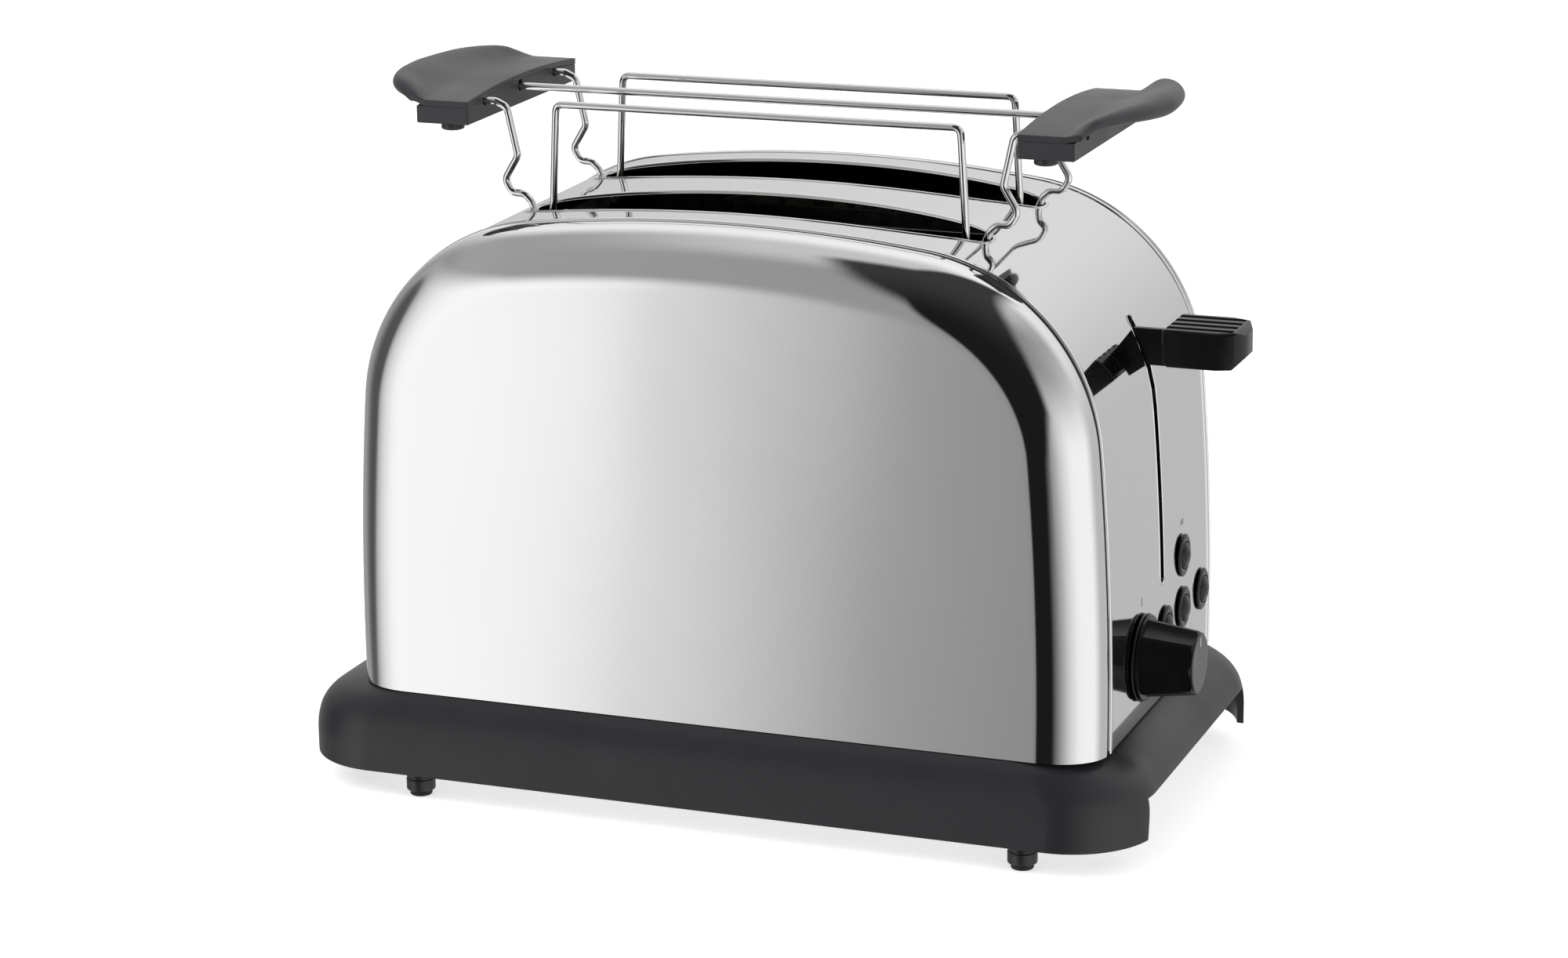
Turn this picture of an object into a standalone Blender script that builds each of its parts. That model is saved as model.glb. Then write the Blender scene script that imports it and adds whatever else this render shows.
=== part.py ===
"""Two-slice pop-up toaster with a lift-off bun-warming rack, built piece by piece.

Metres, +Z up, front panel facing -Y, lever end facing +X, feet on z = 0.
Every object made here is one separate physical piece of the appliance.
"""
import math

import bmesh
import bpy
from mathutils import Matrix, Vector

MM = 0.001

# ---- driving dimensions -------------------------------------------------
FIT_GAP = 0.3 * MM               # gap between neighbouring pieces
SHEET = 0.8 * MM                 # steel sheet thickness

BASE_BOTTOM_Z = 8.5 * MM
BASE_TOP_Z = 34.5 * MM           # deck that the steel shells stand on
BASE_WALL = 2.2 * MM
BASE_CORNER = 28.0 * MM
BASE_SKIRT_X = 17.0 * MM         # how far the base spreads past the body
BASE_SKIRT_Y = 6.15 * MM
BASE_OFFSET = -3.0 * MM          # base centre sits a little left of the body's
END_NOTCH_RISE = 13.1 * MM       # raised lower edge of the two short ends

BODY_HALF_WIDTH = 125.3 * MM     # steel body, widest half-width along X
BODY_HEIGHT = 192.7 * MM         # crown of the arch above the table
TOP_RADIUS = 508.0 * MM          # shallow crown arc
CORNER_RADIUS = 63.7 * MM        # big shoulder arc of the arch
SIDE_RADIUS = 980.0 * MM         # very slightly bowed end walls
SIDE_ANGLE = math.radians(4.8)   # normal angle where end wall meets shoulder
PANEL_DEPTH = 72.7 * MM          # face of the front and rear pans from centre
PANEL_ROUND_DEPTH = 14.0 * MM    # depth of a pan's drawn edge along Y
PANEL_ROUND_INSET = 19.0 * MM    # the same edge measured inwards from the arch
PANEL_SKIRT = 1.0 * MM           # straight run of a pan behind its drawn edge

SLOT_HALF_LENGTH = 78.5 * MM     # outline where the pressed rim starts
SLOT_HALF_WIDTH = 17.3 * MM
SLOT_LAND = 20.2 * MM            # steel left between the two slots
RIM_ROLL = 3.0 * MM              # how far the rim rolls inwards
RIM_DROP = 7.0 * MM
GUARD_CLEAR = 1.5 * MM           # guard wires stand this far inside the rim
HEATER_CLEAR = 4.8 * MM          # guard centre to heater board centre

FOOT_RADIUS = 4.7 * MM
FOOT_INSET_X = 40.3 * MM
TIP_RADIUS = 3.6 * MM
TIP_HEIGHT = 1.4 * MM

LEVER_Y = 1.6 * MM               # slit, lever and lift rod plane
LEVER_TRAVEL = 68.0 * MM
LEVER_DROP = 37.7 * MM           # top of the lever arm below the crown
ARM_HEIGHT = 11.7 * MM
ARM_HALF_THICK = 1.3 * MM
SLIT_HALF_WIDTH = 2.0 * MM
GRIP_HALF_WIDTH = 12.0 * MM
GRIP_HEIGHT = 12.0 * MM
GRIP_LENGTH = 24.9 * MM
GRIP_STANDOFF = 1.5 * MM
ROD_RADIUS = 2.5 * MM
ROD_CLEAR = 0.1 * MM             # running clearance of the slider on its rod

KNOB_Y, KNOB_Z = -22.0 * MM, 55.0 * MM
KNOB_FLANGE_RADIUS = 14.0 * MM
KNOB_ROOT_RADIUS, KNOB_END_RADIUS = 12.6 * MM, 10.3 * MM
KNOB_STANDOUT = 18.7 * MM
SHAFT_RADIUS = 3.0 * MM
SHAFT_CLEAR = 0.6 * MM

BUTTONS = {                      # centre of each button on the end wall
    "cancel": (25.5 * MM, 74.8 * MM),
    "defrost": (4.5 * MM, 57.0 * MM),
    "reheat": (25.2 * MM, 57.3 * MM),
    "bagel": (47.8 * MM, 57.0 * MM),
}
BUTTON_CAP_RADIUS = 4.3 * MM
BUTTON_RING_WIDTH = 2.7 * MM
BUTTON_TRAVEL = 1.5 * MM
BOARD_SETBACK = 14.1 * MM        # control board behind the end wall

WIRE_RADIUS = 1.2 * MM
RACK_RISE = 27.9 * MM            # centre of the rack's wires above the crown
RACK_HOOK_INSET = 11.1 * MM      # rack's leg inside the end of its slot
HANDLE_SETBACK = 24.6 * MM       # handle's inner edge outside that leg
HANDLE_OVERHANG = 13.6 * MM      # handle's end past the outer wire
HANDLE_BLOCK_WIDTH = 18.0 * MM
HANDLE_REACH = 36.2 * MM

CORD_X, CORD_Z = 60.0 * MM, 17.0 * MM
CORD_HOLE, CORD_BORE = 5.4 * MM, 3.3 * MM

# ---- what follows from them -----------------------------------------------
BODY_FOOT_Z = BASE_TOP_Z + FIT_GAP
BAND_HALF_DEPTH = PANEL_DEPTH - PANEL_ROUND_DEPTH - PANEL_SKIRT - 2 * FIT_GAP
BASE_HALF_LENGTH = BODY_HALF_WIDTH + BASE_SKIRT_X
BASE_HALF_DEPTH = PANEL_DEPTH + BASE_SKIRT_Y
END_NOTCH_Z = BASE_BOTTOM_Z + END_NOTCH_RISE

SLOT_Y = SLOT_HALF_WIDTH + SLOT_LAND / 2
GUARD_OFFSET = SLOT_HALF_WIDTH - RIM_ROLL - GUARD_CLEAR
HEATER_OFFSET = GUARD_OFFSET + HEATER_CLEAR
REFLECTOR_Y = SLOT_Y + HEATER_OFFSET + 5.4 * MM
WINDOW_HALF_Y = REFLECTOR_Y - 0.4 * MM
END_PLATE_X = SLOT_HALF_LENGTH + 5.5 * MM
WINDOW_HALF_X = END_PLATE_X - 4.0 * MM
GUARD_TOP_Z = BODY_HEIGHT - 19.9 * MM
TRAY_HALF_DEPTH = WINDOW_HALF_Y - 2.0 * MM
END_NOTCH_HALF = TRAY_HALF_DEPTH + 8.5 * MM

FOOT_X = BASE_HALF_LENGTH - FOOT_INSET_X
FOOT_Y = BASE_HALF_DEPTH - BASE_WALL - FOOT_RADIUS - 1.5 * FIT_GAP

ARM_HIGH_Z = BODY_HEIGHT - LEVER_DROP
ARM_LOW_Z = ARM_HIGH_Z - ARM_HEIGHT
SLIT_HIGH_Z = ARM_HIGH_Z + 3.5 * MM
SLIT_LOW_Z = ARM_LOW_Z - LEVER_TRAVEL - 3.0 * MM
CARRIAGE_LOW_Z = ARM_LOW_Z - 31.3 * MM
GRIP_LOW_Z = ARM_LOW_Z + 2.3 * MM
GRIP_HIGH_Z = GRIP_LOW_Z + GRIP_HEIGHT
GRIP_INNER_X = BODY_HALF_WIDTH + GRIP_STANDOFF
GRIP_OUTER_X = GRIP_INNER_X + GRIP_LENGTH
CARRIAGE_END_X = END_PLATE_X + 7.0 * MM
ROD_X = END_PLATE_X + 16.0 * MM
TAB_Z = ARM_HIGH_Z + 9.0 * MM

KNOB_TIP_X = BODY_HALF_WIDTH + KNOB_STANDOUT
BUTTON_RING_RADIUS = BUTTON_CAP_RADIUS + BUTTON_RING_WIDTH
BOARD_X = BODY_HALF_WIDTH - BOARD_SETBACK
BOARD_FACE_X = BOARD_X + 1.6 * MM

RACK_BAR_Z = BODY_HEIGHT + RACK_RISE
RACK_WIRE_Y = SLOT_Y
RACK_LOOP_X = SLOT_HALF_LENGTH - RACK_HOOK_INSET
HANDLE_INNER_X = RACK_LOOP_X + HANDLE_SETBACK
HANDLE_HALF_DEPTH = RACK_WIRE_Y + HANDLE_OVERHANG

made = []


# ---- small geometry kit -------------------------------------------------
def finish(name, bm):
    """Turn a bmesh into a named object whose faces point outwards."""
    bmesh.ops.recalc_face_normals(bm, faces=bm.faces)
    mesh = bpy.data.meshes.new(name)
    bm.to_mesh(mesh)
    bm.free()
    ob = bpy.data.objects.new(name, mesh)
    bpy.context.scene.collection.objects.link(ob)
    made.append(ob)
    return ob


def add(name, verts, faces):
    """One closed body from vertices and faces."""
    bm = bmesh.new()
    vs = [bm.verts.new(v) for v in verts]
    for f in faces:
        bm.faces.new([vs[i] for i in f])
    return finish(name, bm)


def loft(name, rings, closed=False):
    """Skin equal-length closed rings; cap both ends unless the loft is closed."""
    n = len(rings[0])
    verts = [v for ring in rings for v in ring]
    faces = []
    count = len(rings)
    for k in range(count if closed else count - 1):
        a, b = k * n, ((k + 1) % count) * n
        for i in range(n):
            j = (i + 1) % n
            faces.append((a + i, a + j, b + j, b + i))
    if not closed:
        faces.append(tuple(range(n - 1, -1, -1)))
        faces.append(tuple((count - 1) * n + i for i in range(n)))
    return add(name, verts, faces)


def block(name, lo, hi):
    """Box between two opposite corners."""
    lo, hi = Vector(lo), Vector(hi)
    bm = bmesh.new()
    bmesh.ops.create_cube(bm, size=1.0)
    bmesh.ops.scale(bm, vec=hi - lo, verts=bm.verts)
    bmesh.ops.translate(bm, vec=(lo + hi) / 2, verts=bm.verts)
    return finish(name, bm)


def prism(name, outline, axis, a, b):
    """Extrude a 2-D outline between a and b along 'x', 'y' or 'z'."""
    place = {
        "x": lambda p, t: (t, p[0], p[1]),
        "y": lambda p, t: (p[0], t, p[1]),
        "z": lambda p, t: (p[0], p[1], t),
    }[axis]
    bm = bmesh.new()
    face = bm.faces.new([bm.verts.new(place(p, a)) for p in outline])
    grown = bmesh.ops.extrude_face_region(bm, geom=[face])["geom"]
    run = Vector(place((0, 0), b)) - Vector(place((0, 0), a))
    bmesh.ops.translate(bm, vec=run, verts=[v for v in grown if isinstance(v, bmesh.types.BMVert)])
    return finish(name, bm)


def turned(name, profile, axis, centre, segs=20, tube=False):
    """Spin (along, radius) points about an axis through centre (2-D)."""
    u, v = centre
    place = {
        "x": lambda t, r: (t, u + r, v),
        "y": lambda t, r: (u + r, t, v),
        "z": lambda t, r: (u + r, v, t),
    }[axis]
    bm = bmesh.new()
    verts = [bm.verts.new(place(t, r)) for t, r in profile]
    edges = [bm.edges.new(pair) for pair in zip(verts, verts[1:] + verts[:1] if tube else verts[1:])]
    turn = Vector([c - d for c, d in zip(place(1, 0), place(0, 0))])
    bmesh.ops.spin(bm, geom=verts + edges, cent=place(0, 0), axis=turn, angle=2 * math.pi,
                   steps=segs, use_merge=True)
    bmesh.ops.remove_doubles(bm, verts=bm.verts, dist=1e-6)
    if not tube:
        bmesh.ops.holes_fill(bm, edges=[e for e in bm.edges if e.is_boundary], sides=segs)
    return finish(name, bm)


def bore(axis, centre, radius, a, b, segs=16, name="hole"):
    """Plain cylinder from a to b, used as a rod, a boss or a cutter."""
    return turned(name, [(a, radius), (b, radius)], axis, centre, segs)


def wire(name, path, radius, sides=8):
    """Round wire along a path of points, with flat ends."""
    pts = [Vector(p) for p in path]
    rings = []
    side = None
    for i, p in enumerate(pts):
        back = pts[i] - pts[i - 1] if i else pts[1] - pts[0]
        ahead = pts[i + 1] - pts[i] if i + 1 < len(pts) else pts[i] - pts[i - 1]
        run = (back.normalized() + ahead.normalized()).normalized()
        if side is None:
            side = Vector((0, 1, 0)) if abs(run.y) < 0.9 else Vector((1, 0, 0))
        side = (side - run * side.dot(run)).normalized()
        other = run.cross(side)
        stretch = 1.0 / max(0.5, math.cos(0.5 * back.angle(ahead, 0.0)))
        ring = []
        for k in range(sides):
            a = 2 * math.pi * k / sides
            ring.append(p + side * (radius * math.cos(a)) + other * (radius * stretch * math.sin(a)))
        rings.append(ring)
    return loft(name, rings)


def round_corners(path, radius, steps=3):
    """Replace each inner corner of a polyline by a short arc."""
    pts = [Vector(p) for p in path]
    out = [pts[0]]
    for i in range(1, len(pts) - 1):
        a, b, c = pts[i - 1], pts[i], pts[i + 1]
        u, v = (a - b).normalized(), (c - b).normalized()
        half = u.angle(v) / 2
        cut = min(radius / max(math.tan(half), 1e-6), 0.48 * (a - b).length, 0.48 * (c - b).length)
        p, q = b + u * cut, b + v * cut
        for k in range(steps + 1):
            t = k / steps
            out.append(p * (1 - t) ** 2 + b * (2 * t * (1 - t)) + q * t ** 2)
    out.append(pts[-1])
    return [tuple(p) for p in out]


def grid_plate(name, us, vs, solid, axis, a, b):
    """Flat plate made of grid cells; solid(i, j) says which cells hold metal."""
    place = {
        "x": lambda p, q, t: (t, p, q),
        "y": lambda p, q, t: (p, t, q),
        "z": lambda p, q, t: (p, q, t),
    }[axis]
    nu, nv = len(us), len(vs)
    index, verts, faces = {}, [], []

    def vert(i, j, side):
        key = (i, j, side)
        if key not in index:
            index[key] = len(verts)
            verts.append(place(us[i], vs[j], b if side else a))
        return index[key]

    filled = {(i, j) for i in range(nu - 1) for j in range(nv - 1) if solid(i, j)}
    for i, j in filled:
        lo = [vert(i, j, 0), vert(i + 1, j, 0), vert(i + 1, j + 1, 0), vert(i, j + 1, 0)]
        hi = [vert(i, j, 1), vert(i + 1, j, 1), vert(i + 1, j + 1, 1), vert(i, j + 1, 1)]
        faces += [tuple(reversed(lo)), tuple(hi)]
        for k, (di, dj) in enumerate(((0, -1), (1, 0), (0, 1), (-1, 0))):
            if (i + di, j + dj) not in filled:
                m = (k + 1) % 4
                faces.append((lo[k], lo[m], hi[m], hi[k]))
    return add(name, verts, faces)


def boolean(target, others, operation):
    """Join or cut with closed bodies, then drop the helper objects."""
    for other in others:
        mod = target.modifiers.new("op", "BOOLEAN")
        mod.operation = operation
        mod.solver = "EXACT"
        mod.object = other
    graph = bpy.context.evaluated_depsgraph_get()
    result = bpy.data.meshes.new_from_object(target.evaluated_get(graph))
    target.modifiers.clear()
    bm = bmesh.new()
    bm.from_mesh(result)
    bmesh.ops.remove_doubles(bm, verts=bm.verts, dist=2e-6)
    bmesh.ops.dissolve_degenerate(bm, edges=bm.edges, dist=1e-6)
    bm.to_mesh(result)
    bm.free()
    target.data = result
    for other in others:
        made.remove(other)
        bpy.data.objects.remove(other)
    return target


def cut(target, *cutters):
    return boolean(target, cutters, "DIFFERENCE")


def join(target, *others):
    return boolean(target, others, "UNION")


def rounded_rect(hx, hy, r, z, steps=5):
    """Closed ring of a rounded rectangle with a fixed point count."""
    ring = []
    for cx, cy, start in ((hx - r, hy - r, 0), (-hx + r, hy - r, 90),
                          (-hx + r, -hy + r, 180), (hx - r, -hy + r, 270)):
        for k in range(steps + 1):
            a = math.radians(start + 90 * k / steps)
            ring.append((cx + r * math.cos(a), cy + r * math.sin(a), z))
    return ring


# ---- arch outline shared by the three steel shells ----------------------
SIDE_CX = BODY_HALF_WIDTH - SIDE_RADIUS
CORNER_CX = SIDE_CX + (SIDE_RADIUS - CORNER_RADIUS) * math.cos(SIDE_ANGLE)
TOP_ANGLE = math.asin(CORNER_CX / (TOP_RADIUS - CORNER_RADIUS))
TOP_CZ = BODY_HEIGHT - TOP_RADIUS
CORNER_CZ = TOP_CZ + (TOP_RADIUS - CORNER_RADIUS) * math.cos(TOP_ANGLE)
SIDE_CZ = CORNER_CZ - (SIDE_RADIUS - CORNER_RADIUS) * math.sin(SIDE_ANGLE)


def arch(inset=0.0, side=4, corner=9, top=4):
    """(x, z) points from the left foot over the crown to the right foot."""
    rs, rc, rt = SIDE_RADIUS - inset, CORNER_RADIUS - inset, TOP_RADIUS - inset
    right = []
    start = math.asin((BODY_FOOT_Z - SIDE_CZ) / rs)
    for k in range(side):
        a = start + (SIDE_ANGLE - start) * k / side
        right.append((SIDE_CX + rs * math.cos(a), SIDE_CZ + rs * math.sin(a)))
    right[0] = (right[0][0], BODY_FOOT_Z)
    stop = math.pi / 2 - TOP_ANGLE
    for k in range(corner):
        a = SIDE_ANGLE + (stop - SIDE_ANGLE) * k / corner
        right.append((CORNER_CX + rc * math.cos(a), CORNER_CZ + rc * math.sin(a)))
    for k in range(top):
        a = TOP_ANGLE * (1 - k / top)
        right.append((rt * math.sin(a), TOP_CZ + rt * math.cos(a)))
    left = [(-x, z) for x, z in right]
    return left + [(0.0, TOP_CZ + rt)] + right[::-1]


def crown_z(x):
    """Height of the outer arch at a given x near the top."""
    x = abs(x)
    if x < TOP_RADIUS * math.sin(TOP_ANGLE):
        return TOP_CZ + math.sqrt(TOP_RADIUS ** 2 - x ** 2)
    return CORNER_CZ + math.sqrt(max(0.0, CORNER_RADIUS ** 2 - (x - CORNER_CX) ** 2))


def wall_x(z):
    """Outer face of the end wall at a given height."""
    if z < CORNER_CZ + CORNER_RADIUS * math.sin(SIDE_ANGLE):
        return SIDE_CX + math.sqrt(SIDE_RADIUS ** 2 - (z - SIDE_CZ) ** 2)
    return CORNER_CX + math.sqrt(CORNER_RADIUS ** 2 - (z - CORNER_CZ) ** 2)


# ---- steel shells --------------------------------------------------------
def pan(name, sign):
    """Front (sign -1) or rear (sign +1) drawn pan with a big rolled edge."""
    seam_y = PANEL_DEPTH - PANEL_ROUND_DEPTH - PANEL_SKIRT
    flat_y = PANEL_DEPTH - PANEL_ROUND_DEPTH
    outer = [(0.0, seam_y)]
    steps = 5
    for k in range(steps + 1):
        a = math.pi / 2 * k / steps
        outer.append((PANEL_ROUND_INSET * (1 - math.cos(a)),
                      flat_y + PANEL_ROUND_DEPTH * math.sin(a)))
    inner = [(SHEET, seam_y)]
    for k in range(steps + 1):
        a = math.pi / 2 * k / steps
        inner.append((SHEET + (PANEL_ROUND_INSET - SHEET) * (1 - math.cos(a)),
                      flat_y + (PANEL_ROUND_DEPTH - SHEET) * math.sin(a)))
    verts, faces = [], []
    rows = []
    for inset, y in outer + inner[::-1]:
        row = []
        for x, z in arch(inset):
            row.append(len(verts))
            verts.append((x, sign * y, z))
        rows.append(row)
    n = len(rows[0])
    half = len(outer)
    for k in range(len(rows)):
        a, b = rows[k], rows[(k + 1) % len(rows)]
        if k == half - 1:
            continue
        for i in range(n - 1):
            faces.append((a[i], a[i + 1], b[i + 1], b[i]))
    faces.append(tuple(rows[half - 1]))
    faces.append(tuple(rows[half][::-1]))
    for k in range(half - 1):
        a, b = rows[k], rows[k + 1]
        c, d = rows[-1 - k], rows[-2 - k]
        faces.append((a[0], b[0], d[0], c[0]))
        faces.append((a[-1], c[-1], d[-1], b[-1]))
    a, c = rows[half - 1], rows[half]
    faces.append((a[0], a[-1], c[-1], c[0]))
    return add(name, verts, faces)


def superellipse(a, b, n, count):
    pts = []
    for i in range(count):
        t = 2 * math.pi * (i + 0.5) / count
        c, s = math.cos(t), math.sin(t)
        pts.append((math.copysign(abs(c) ** (2 / n), c) * a, math.copysign(abs(s) ** (2 / n), s) * b))
    return pts


def slot_rim(name, cy):
    """Rolled rim round one bread slot: a raised bead that turns down inside."""
    section = [(0.0, -0.4), (0.5, 0.38), (1.6, 0.2), (2.7, -1.3), (3.0, -7.0), (2.2, -7.0), (1.5, -1.3)]
    scale_in, scale_down = RIM_ROLL / 3.0, RIM_DROP / 7.0
    rings = []
    for d, h in section:
        d *= scale_in
        h *= MM * (scale_down if h < -5 else 1.0)
        ring = [(x, cy + y, crown_z(x) + h)
                for x, y in superellipse(SLOT_HALF_LENGTH - d, SLOT_HALF_WIDTH - d, 2.5, 36)]
        rings.append(ring)
    return loft(name, rings, closed=True)


def centre_band():
    edge = BAND_HALF_DEPTH
    bead = [(0.0, 0.45), (0.2, -0.25), (0.8, -0.5), (1.4, -0.25), (1.8, 0.0)]
    section = [(-edge + y * MM, d * MM) for y, d in bead]
    section += [(edge - y * MM, d * MM) for y, d in bead[::-1]]
    section += [(edge, SHEET), (-edge, SHEET)]
    profiles = {}
    for _, d in section:
        if d not in profiles:
            profiles[d] = arch(d)
    stations = len(arch())
    rings = []
    for i in range(stations):
        rings.append([(profiles[d][i][0], y, profiles[d][i][1]) for y, d in section])
    band = loft("centre_band", rings)
    cutters = []
    for sign in (-1, 1):
        hole = superellipse(SLOT_HALF_LENGTH - 1.5 * MM, SLOT_HALF_WIDTH - 1.5 * MM, 2.5, 36)
        hole = [(x, y + sign * SLOT_Y) for x, y in hole]
        cutters.append(prism("hole", hole, "z", BODY_HEIGHT - 27.7 * MM, BODY_HEIGHT + 20 * MM))
    slit = []
    for cz, start in ((SLIT_HIGH_Z - SLIT_HALF_WIDTH, 0), (SLIT_LOW_Z + SLIT_HALF_WIDTH, 180)):
        for k in range(5):
            a = math.radians(start + 45 * k)
            slit.append((LEVER_Y + SLIT_HALF_WIDTH * math.cos(a), cz + SLIT_HALF_WIDTH * math.sin(a)))
    cutters.append(prism("slit", slit, "x", BODY_HALF_WIDTH - 30 * MM, BODY_HALF_WIDTH + 15 * MM))
    for y, z in BUTTONS.values():
        cutters.append(bore("x", (y, z), BUTTON_CAP_RADIUS + 0.5 * MM, BOARD_X, BODY_HALF_WIDTH + 10 * MM))
    cutters.append(bore("x", (KNOB_Y, KNOB_Z), SHAFT_RADIUS + SHAFT_CLEAR, BOARD_X, BODY_HALF_WIDTH + 10 * MM))
    cut(band, *cutters)
    join(band, slot_rim("rim_a", -SLOT_Y), slot_rim("rim_b", SLOT_Y))
    return band


# ---- base ----------------------------------------------------------------
def base():
    hx, hy, r = BASE_HALF_LENGTH, BASE_HALF_DEPTH, BASE_CORNER
    rise = BASE_TOP_Z - BASE_BOTTOM_Z
    end_run = hx + BASE_OFFSET - (wall_x(BODY_FOOT_Z) - 0.2 * MM)
    front_run = hy - (PANEL_DEPTH - 0.2 * MM)
    outer = []
    for up, run in ((0.0, 0.0), (0.42, 0.02), (0.62, 0.10), (0.77, 0.27), (0.89, 0.54), (0.965, 0.82), (1.0, 1.0)):
        outer.append((hx - end_run * run, hy - front_run * run, r - 3 * MM * run, BASE_BOTTOM_Z + rise * up))
    deck_low = BASE_TOP_Z - BASE_WALL
    rings = [rounded_rect(a, b, c, z) for a, b, c, z in outer]
    for z in (BASE_TOP_Z, deck_low):
        rings.append([(x - BASE_OFFSET, y, z) for x, y, z in rounded_rect(WINDOW_HALF_X, WINDOW_HALF_Y, 4 * MM, z)])
    for a, b, c, z in ((hx - end_run * 0.8 - BASE_WALL, hy - front_run * 0.8 - BASE_WALL, r - 5 * MM, deck_low),
                       (hx - end_run * 0.32 - BASE_WALL, hy - front_run * 0.32 - BASE_WALL, r - 3 * MM,
                        BASE_BOTTOM_Z + rise * 0.74),
                       (hx - BASE_WALL, hy - BASE_WALL, r - BASE_WALL, BASE_BOTTOM_Z + rise * 0.45),
                       (hx - BASE_WALL, hy - BASE_WALL, r - BASE_WALL, BASE_BOTTOM_Z)):
        rings.append(rounded_rect(a, b, c, z))
    body = loft("base", rings, closed=True)
    bosses = [bore("z", (sx * FOOT_X - BASE_OFFSET, sy * FOOT_Y), FOOT_RADIUS + 0.9 * MM,
                   BASE_BOTTOM_Z + 3.1 * MM, BASE_BOTTOM_Z + 12 * MM, 12) for sx in (-1, 1) for sy in (-1, 1)]
    join(body, *bosses)
    notch = [(-END_NOTCH_HALF - 2 * MM, 0.0), (END_NOTCH_HALF + 2 * MM, 0.0),
             (END_NOTCH_HALF, END_NOTCH_Z), (-END_NOTCH_HALF, END_NOTCH_Z)]
    cut(body,
        prism("notch", notch, "x", hx - 15 * MM, hx + 10 * MM),
        prism("notch", notch, "x", -hx - 10 * MM, -hx + 15 * MM),
        bore("y", (CORD_X - BASE_OFFSET, CORD_Z), CORD_HOLE, hy - 8 * MM, hy + 5 * MM))
    body.data.transform(Matrix.Translation((BASE_OFFSET, 0, 0)))
    return body


def bottom_plate():
    z0 = BASE_BOTTOM_Z + 2.0 * MM
    hx, hy, r = BASE_HALF_LENGTH - 20.3 * MM, BASE_HALF_DEPTH - BASE_WALL - FIT_GAP, 14 * MM
    plate = loft("bottom_plate", [rounded_rect(hx, hy, r, z0), rounded_rect(hx, hy, r, z0 + SHEET)])
    vents = [block("vent", (hx - (38 - 7 * k) * MM, -40 * MM, z0 - 5 * MM), (hx - (35 - 7 * k) * MM, 40 * MM, z0 + 5 * MM))
             for k in range(3)]
    cut(plate, *vents)


def feet():
    for tag, sx, sy in (("front_left", -1, -1), ("front_right", 1, -1), ("rear_left", -1, 1), ("rear_right", 1, 1)):
        at = (sx * FOOT_X, sy * FOOT_Y)
        top = BASE_BOTTOM_Z + 2.0 * MM - FIT_GAP
        turned("foot_" + tag, [(TIP_HEIGHT + 0.2 * MM, FOOT_RADIUS - 0.4 * MM), (TIP_HEIGHT + 0.7 * MM, FOOT_RADIUS),
                               (top, FOOT_RADIUS)], "z", at, 16)
        turned("tip_" + tag, [(0, TIP_RADIUS - 0.3 * MM), (0.4 * MM, TIP_RADIUS), (TIP_HEIGHT, TIP_RADIUS)], "z", at, 16)


def crumb_tray():
    """Thin pan with a pull lip that fills the left end's notch."""
    z0, z1 = BASE_BOTTOM_Z + 2.8 * MM + FIT_GAP, BASE_BOTTOM_Z + 9.6 * MM
    end = BASE_OFFSET - BASE_HALF_LENGTH
    x0, x1, hy = end + 3.5 * MM, END_PLATE_X + 14 * MM, TRAY_HALF_DEPTH
    t = SHEET
    ring = lambda a, b, c, z: [(a, -c, z), (b, -c, z), (b, c, z), (a, c, z)]
    tray = loft("crumb_tray", [ring(x0, x1, hy, z0), ring(x0, x1, hy, z1),
                               ring(x0 + t, x1 - t, hy - t, z1), ring(x0 + t, x1 - t, hy - t, z0 + t)])
    wide, top, grip = hy + 2 * MM, z1 + 0.2 * MM, z0 + 2 * MM
    pull = [(-wide, z0), (wide, z0), (wide, top), (22 * MM, top), (18 * MM, grip),
            (-18 * MM, grip), (-22 * MM, top), (-wide, top)]
    join(tray, prism("pull", pull, "x", end + FIT_GAP, x0 + 0.4 * MM))


def cord_gland():
    """Empty bushing where the mains lead would enter the rear skirt."""
    y = BASE_HALF_DEPTH
    bore = CORD_BORE
    turned("cord_gland", [(y - 6 * MM, bore), (y + 1.5 * MM, bore), (y + 1.5 * MM, 6.2 * MM), (y + 0.3 * MM, 7.0 * MM),
                          (y + 0.3 * MM, CORD_HOLE - 0.25 * MM), (y - 6 * MM, CORD_HOLE - 0.25 * MM)],
           "y", (CORD_X, CORD_Z), 16, tube=True)


# ---- chassis, heating and lift ------------------------------------------
def end_plates():
    z0, z1, hy = BASE_TOP_Z + FIT_GAP, GUARD_TOP_Z + 3.2 * MM, REFLECTOR_Y + 1.6 * MM
    block("end_plate_left", (-END_PLATE_X - SHEET, -hy, z0), (-END_PLATE_X, hy, z1))
    w = 1.6 * MM
    ys = [-hy, -SLOT_Y - w, -SLOT_Y + w, SLOT_Y - w, SLOT_Y + w, hy]
    low = CARRIAGE_LOW_Z - LEVER_TRAVEL - 3 * MM
    zs = [z0, low, CARRIAGE_LOW_Z + 12 * MM, z1]
    right = grid_plate("end_plate_right", ys, zs, lambda i, j: not (j == 1 and i in (1, 3)),
                       "x", END_PLATE_X, END_PLATE_X + SHEET)
    tab = block("tab", (END_PLATE_X + 0.2 * MM, LEVER_Y - 9 * MM, TAB_Z),
                (ROD_X + ROD_RADIUS + 2.1 * MM, LEVER_Y + 9 * MM, TAB_Z + 1.2 * MM))
    join(right, tab)
    cut(right, bore("z", (ROD_X, LEVER_Y), ROD_RADIUS + ROD_CLEAR, TAB_Z - 10 * MM, TAB_Z + 10 * MM))


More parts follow.
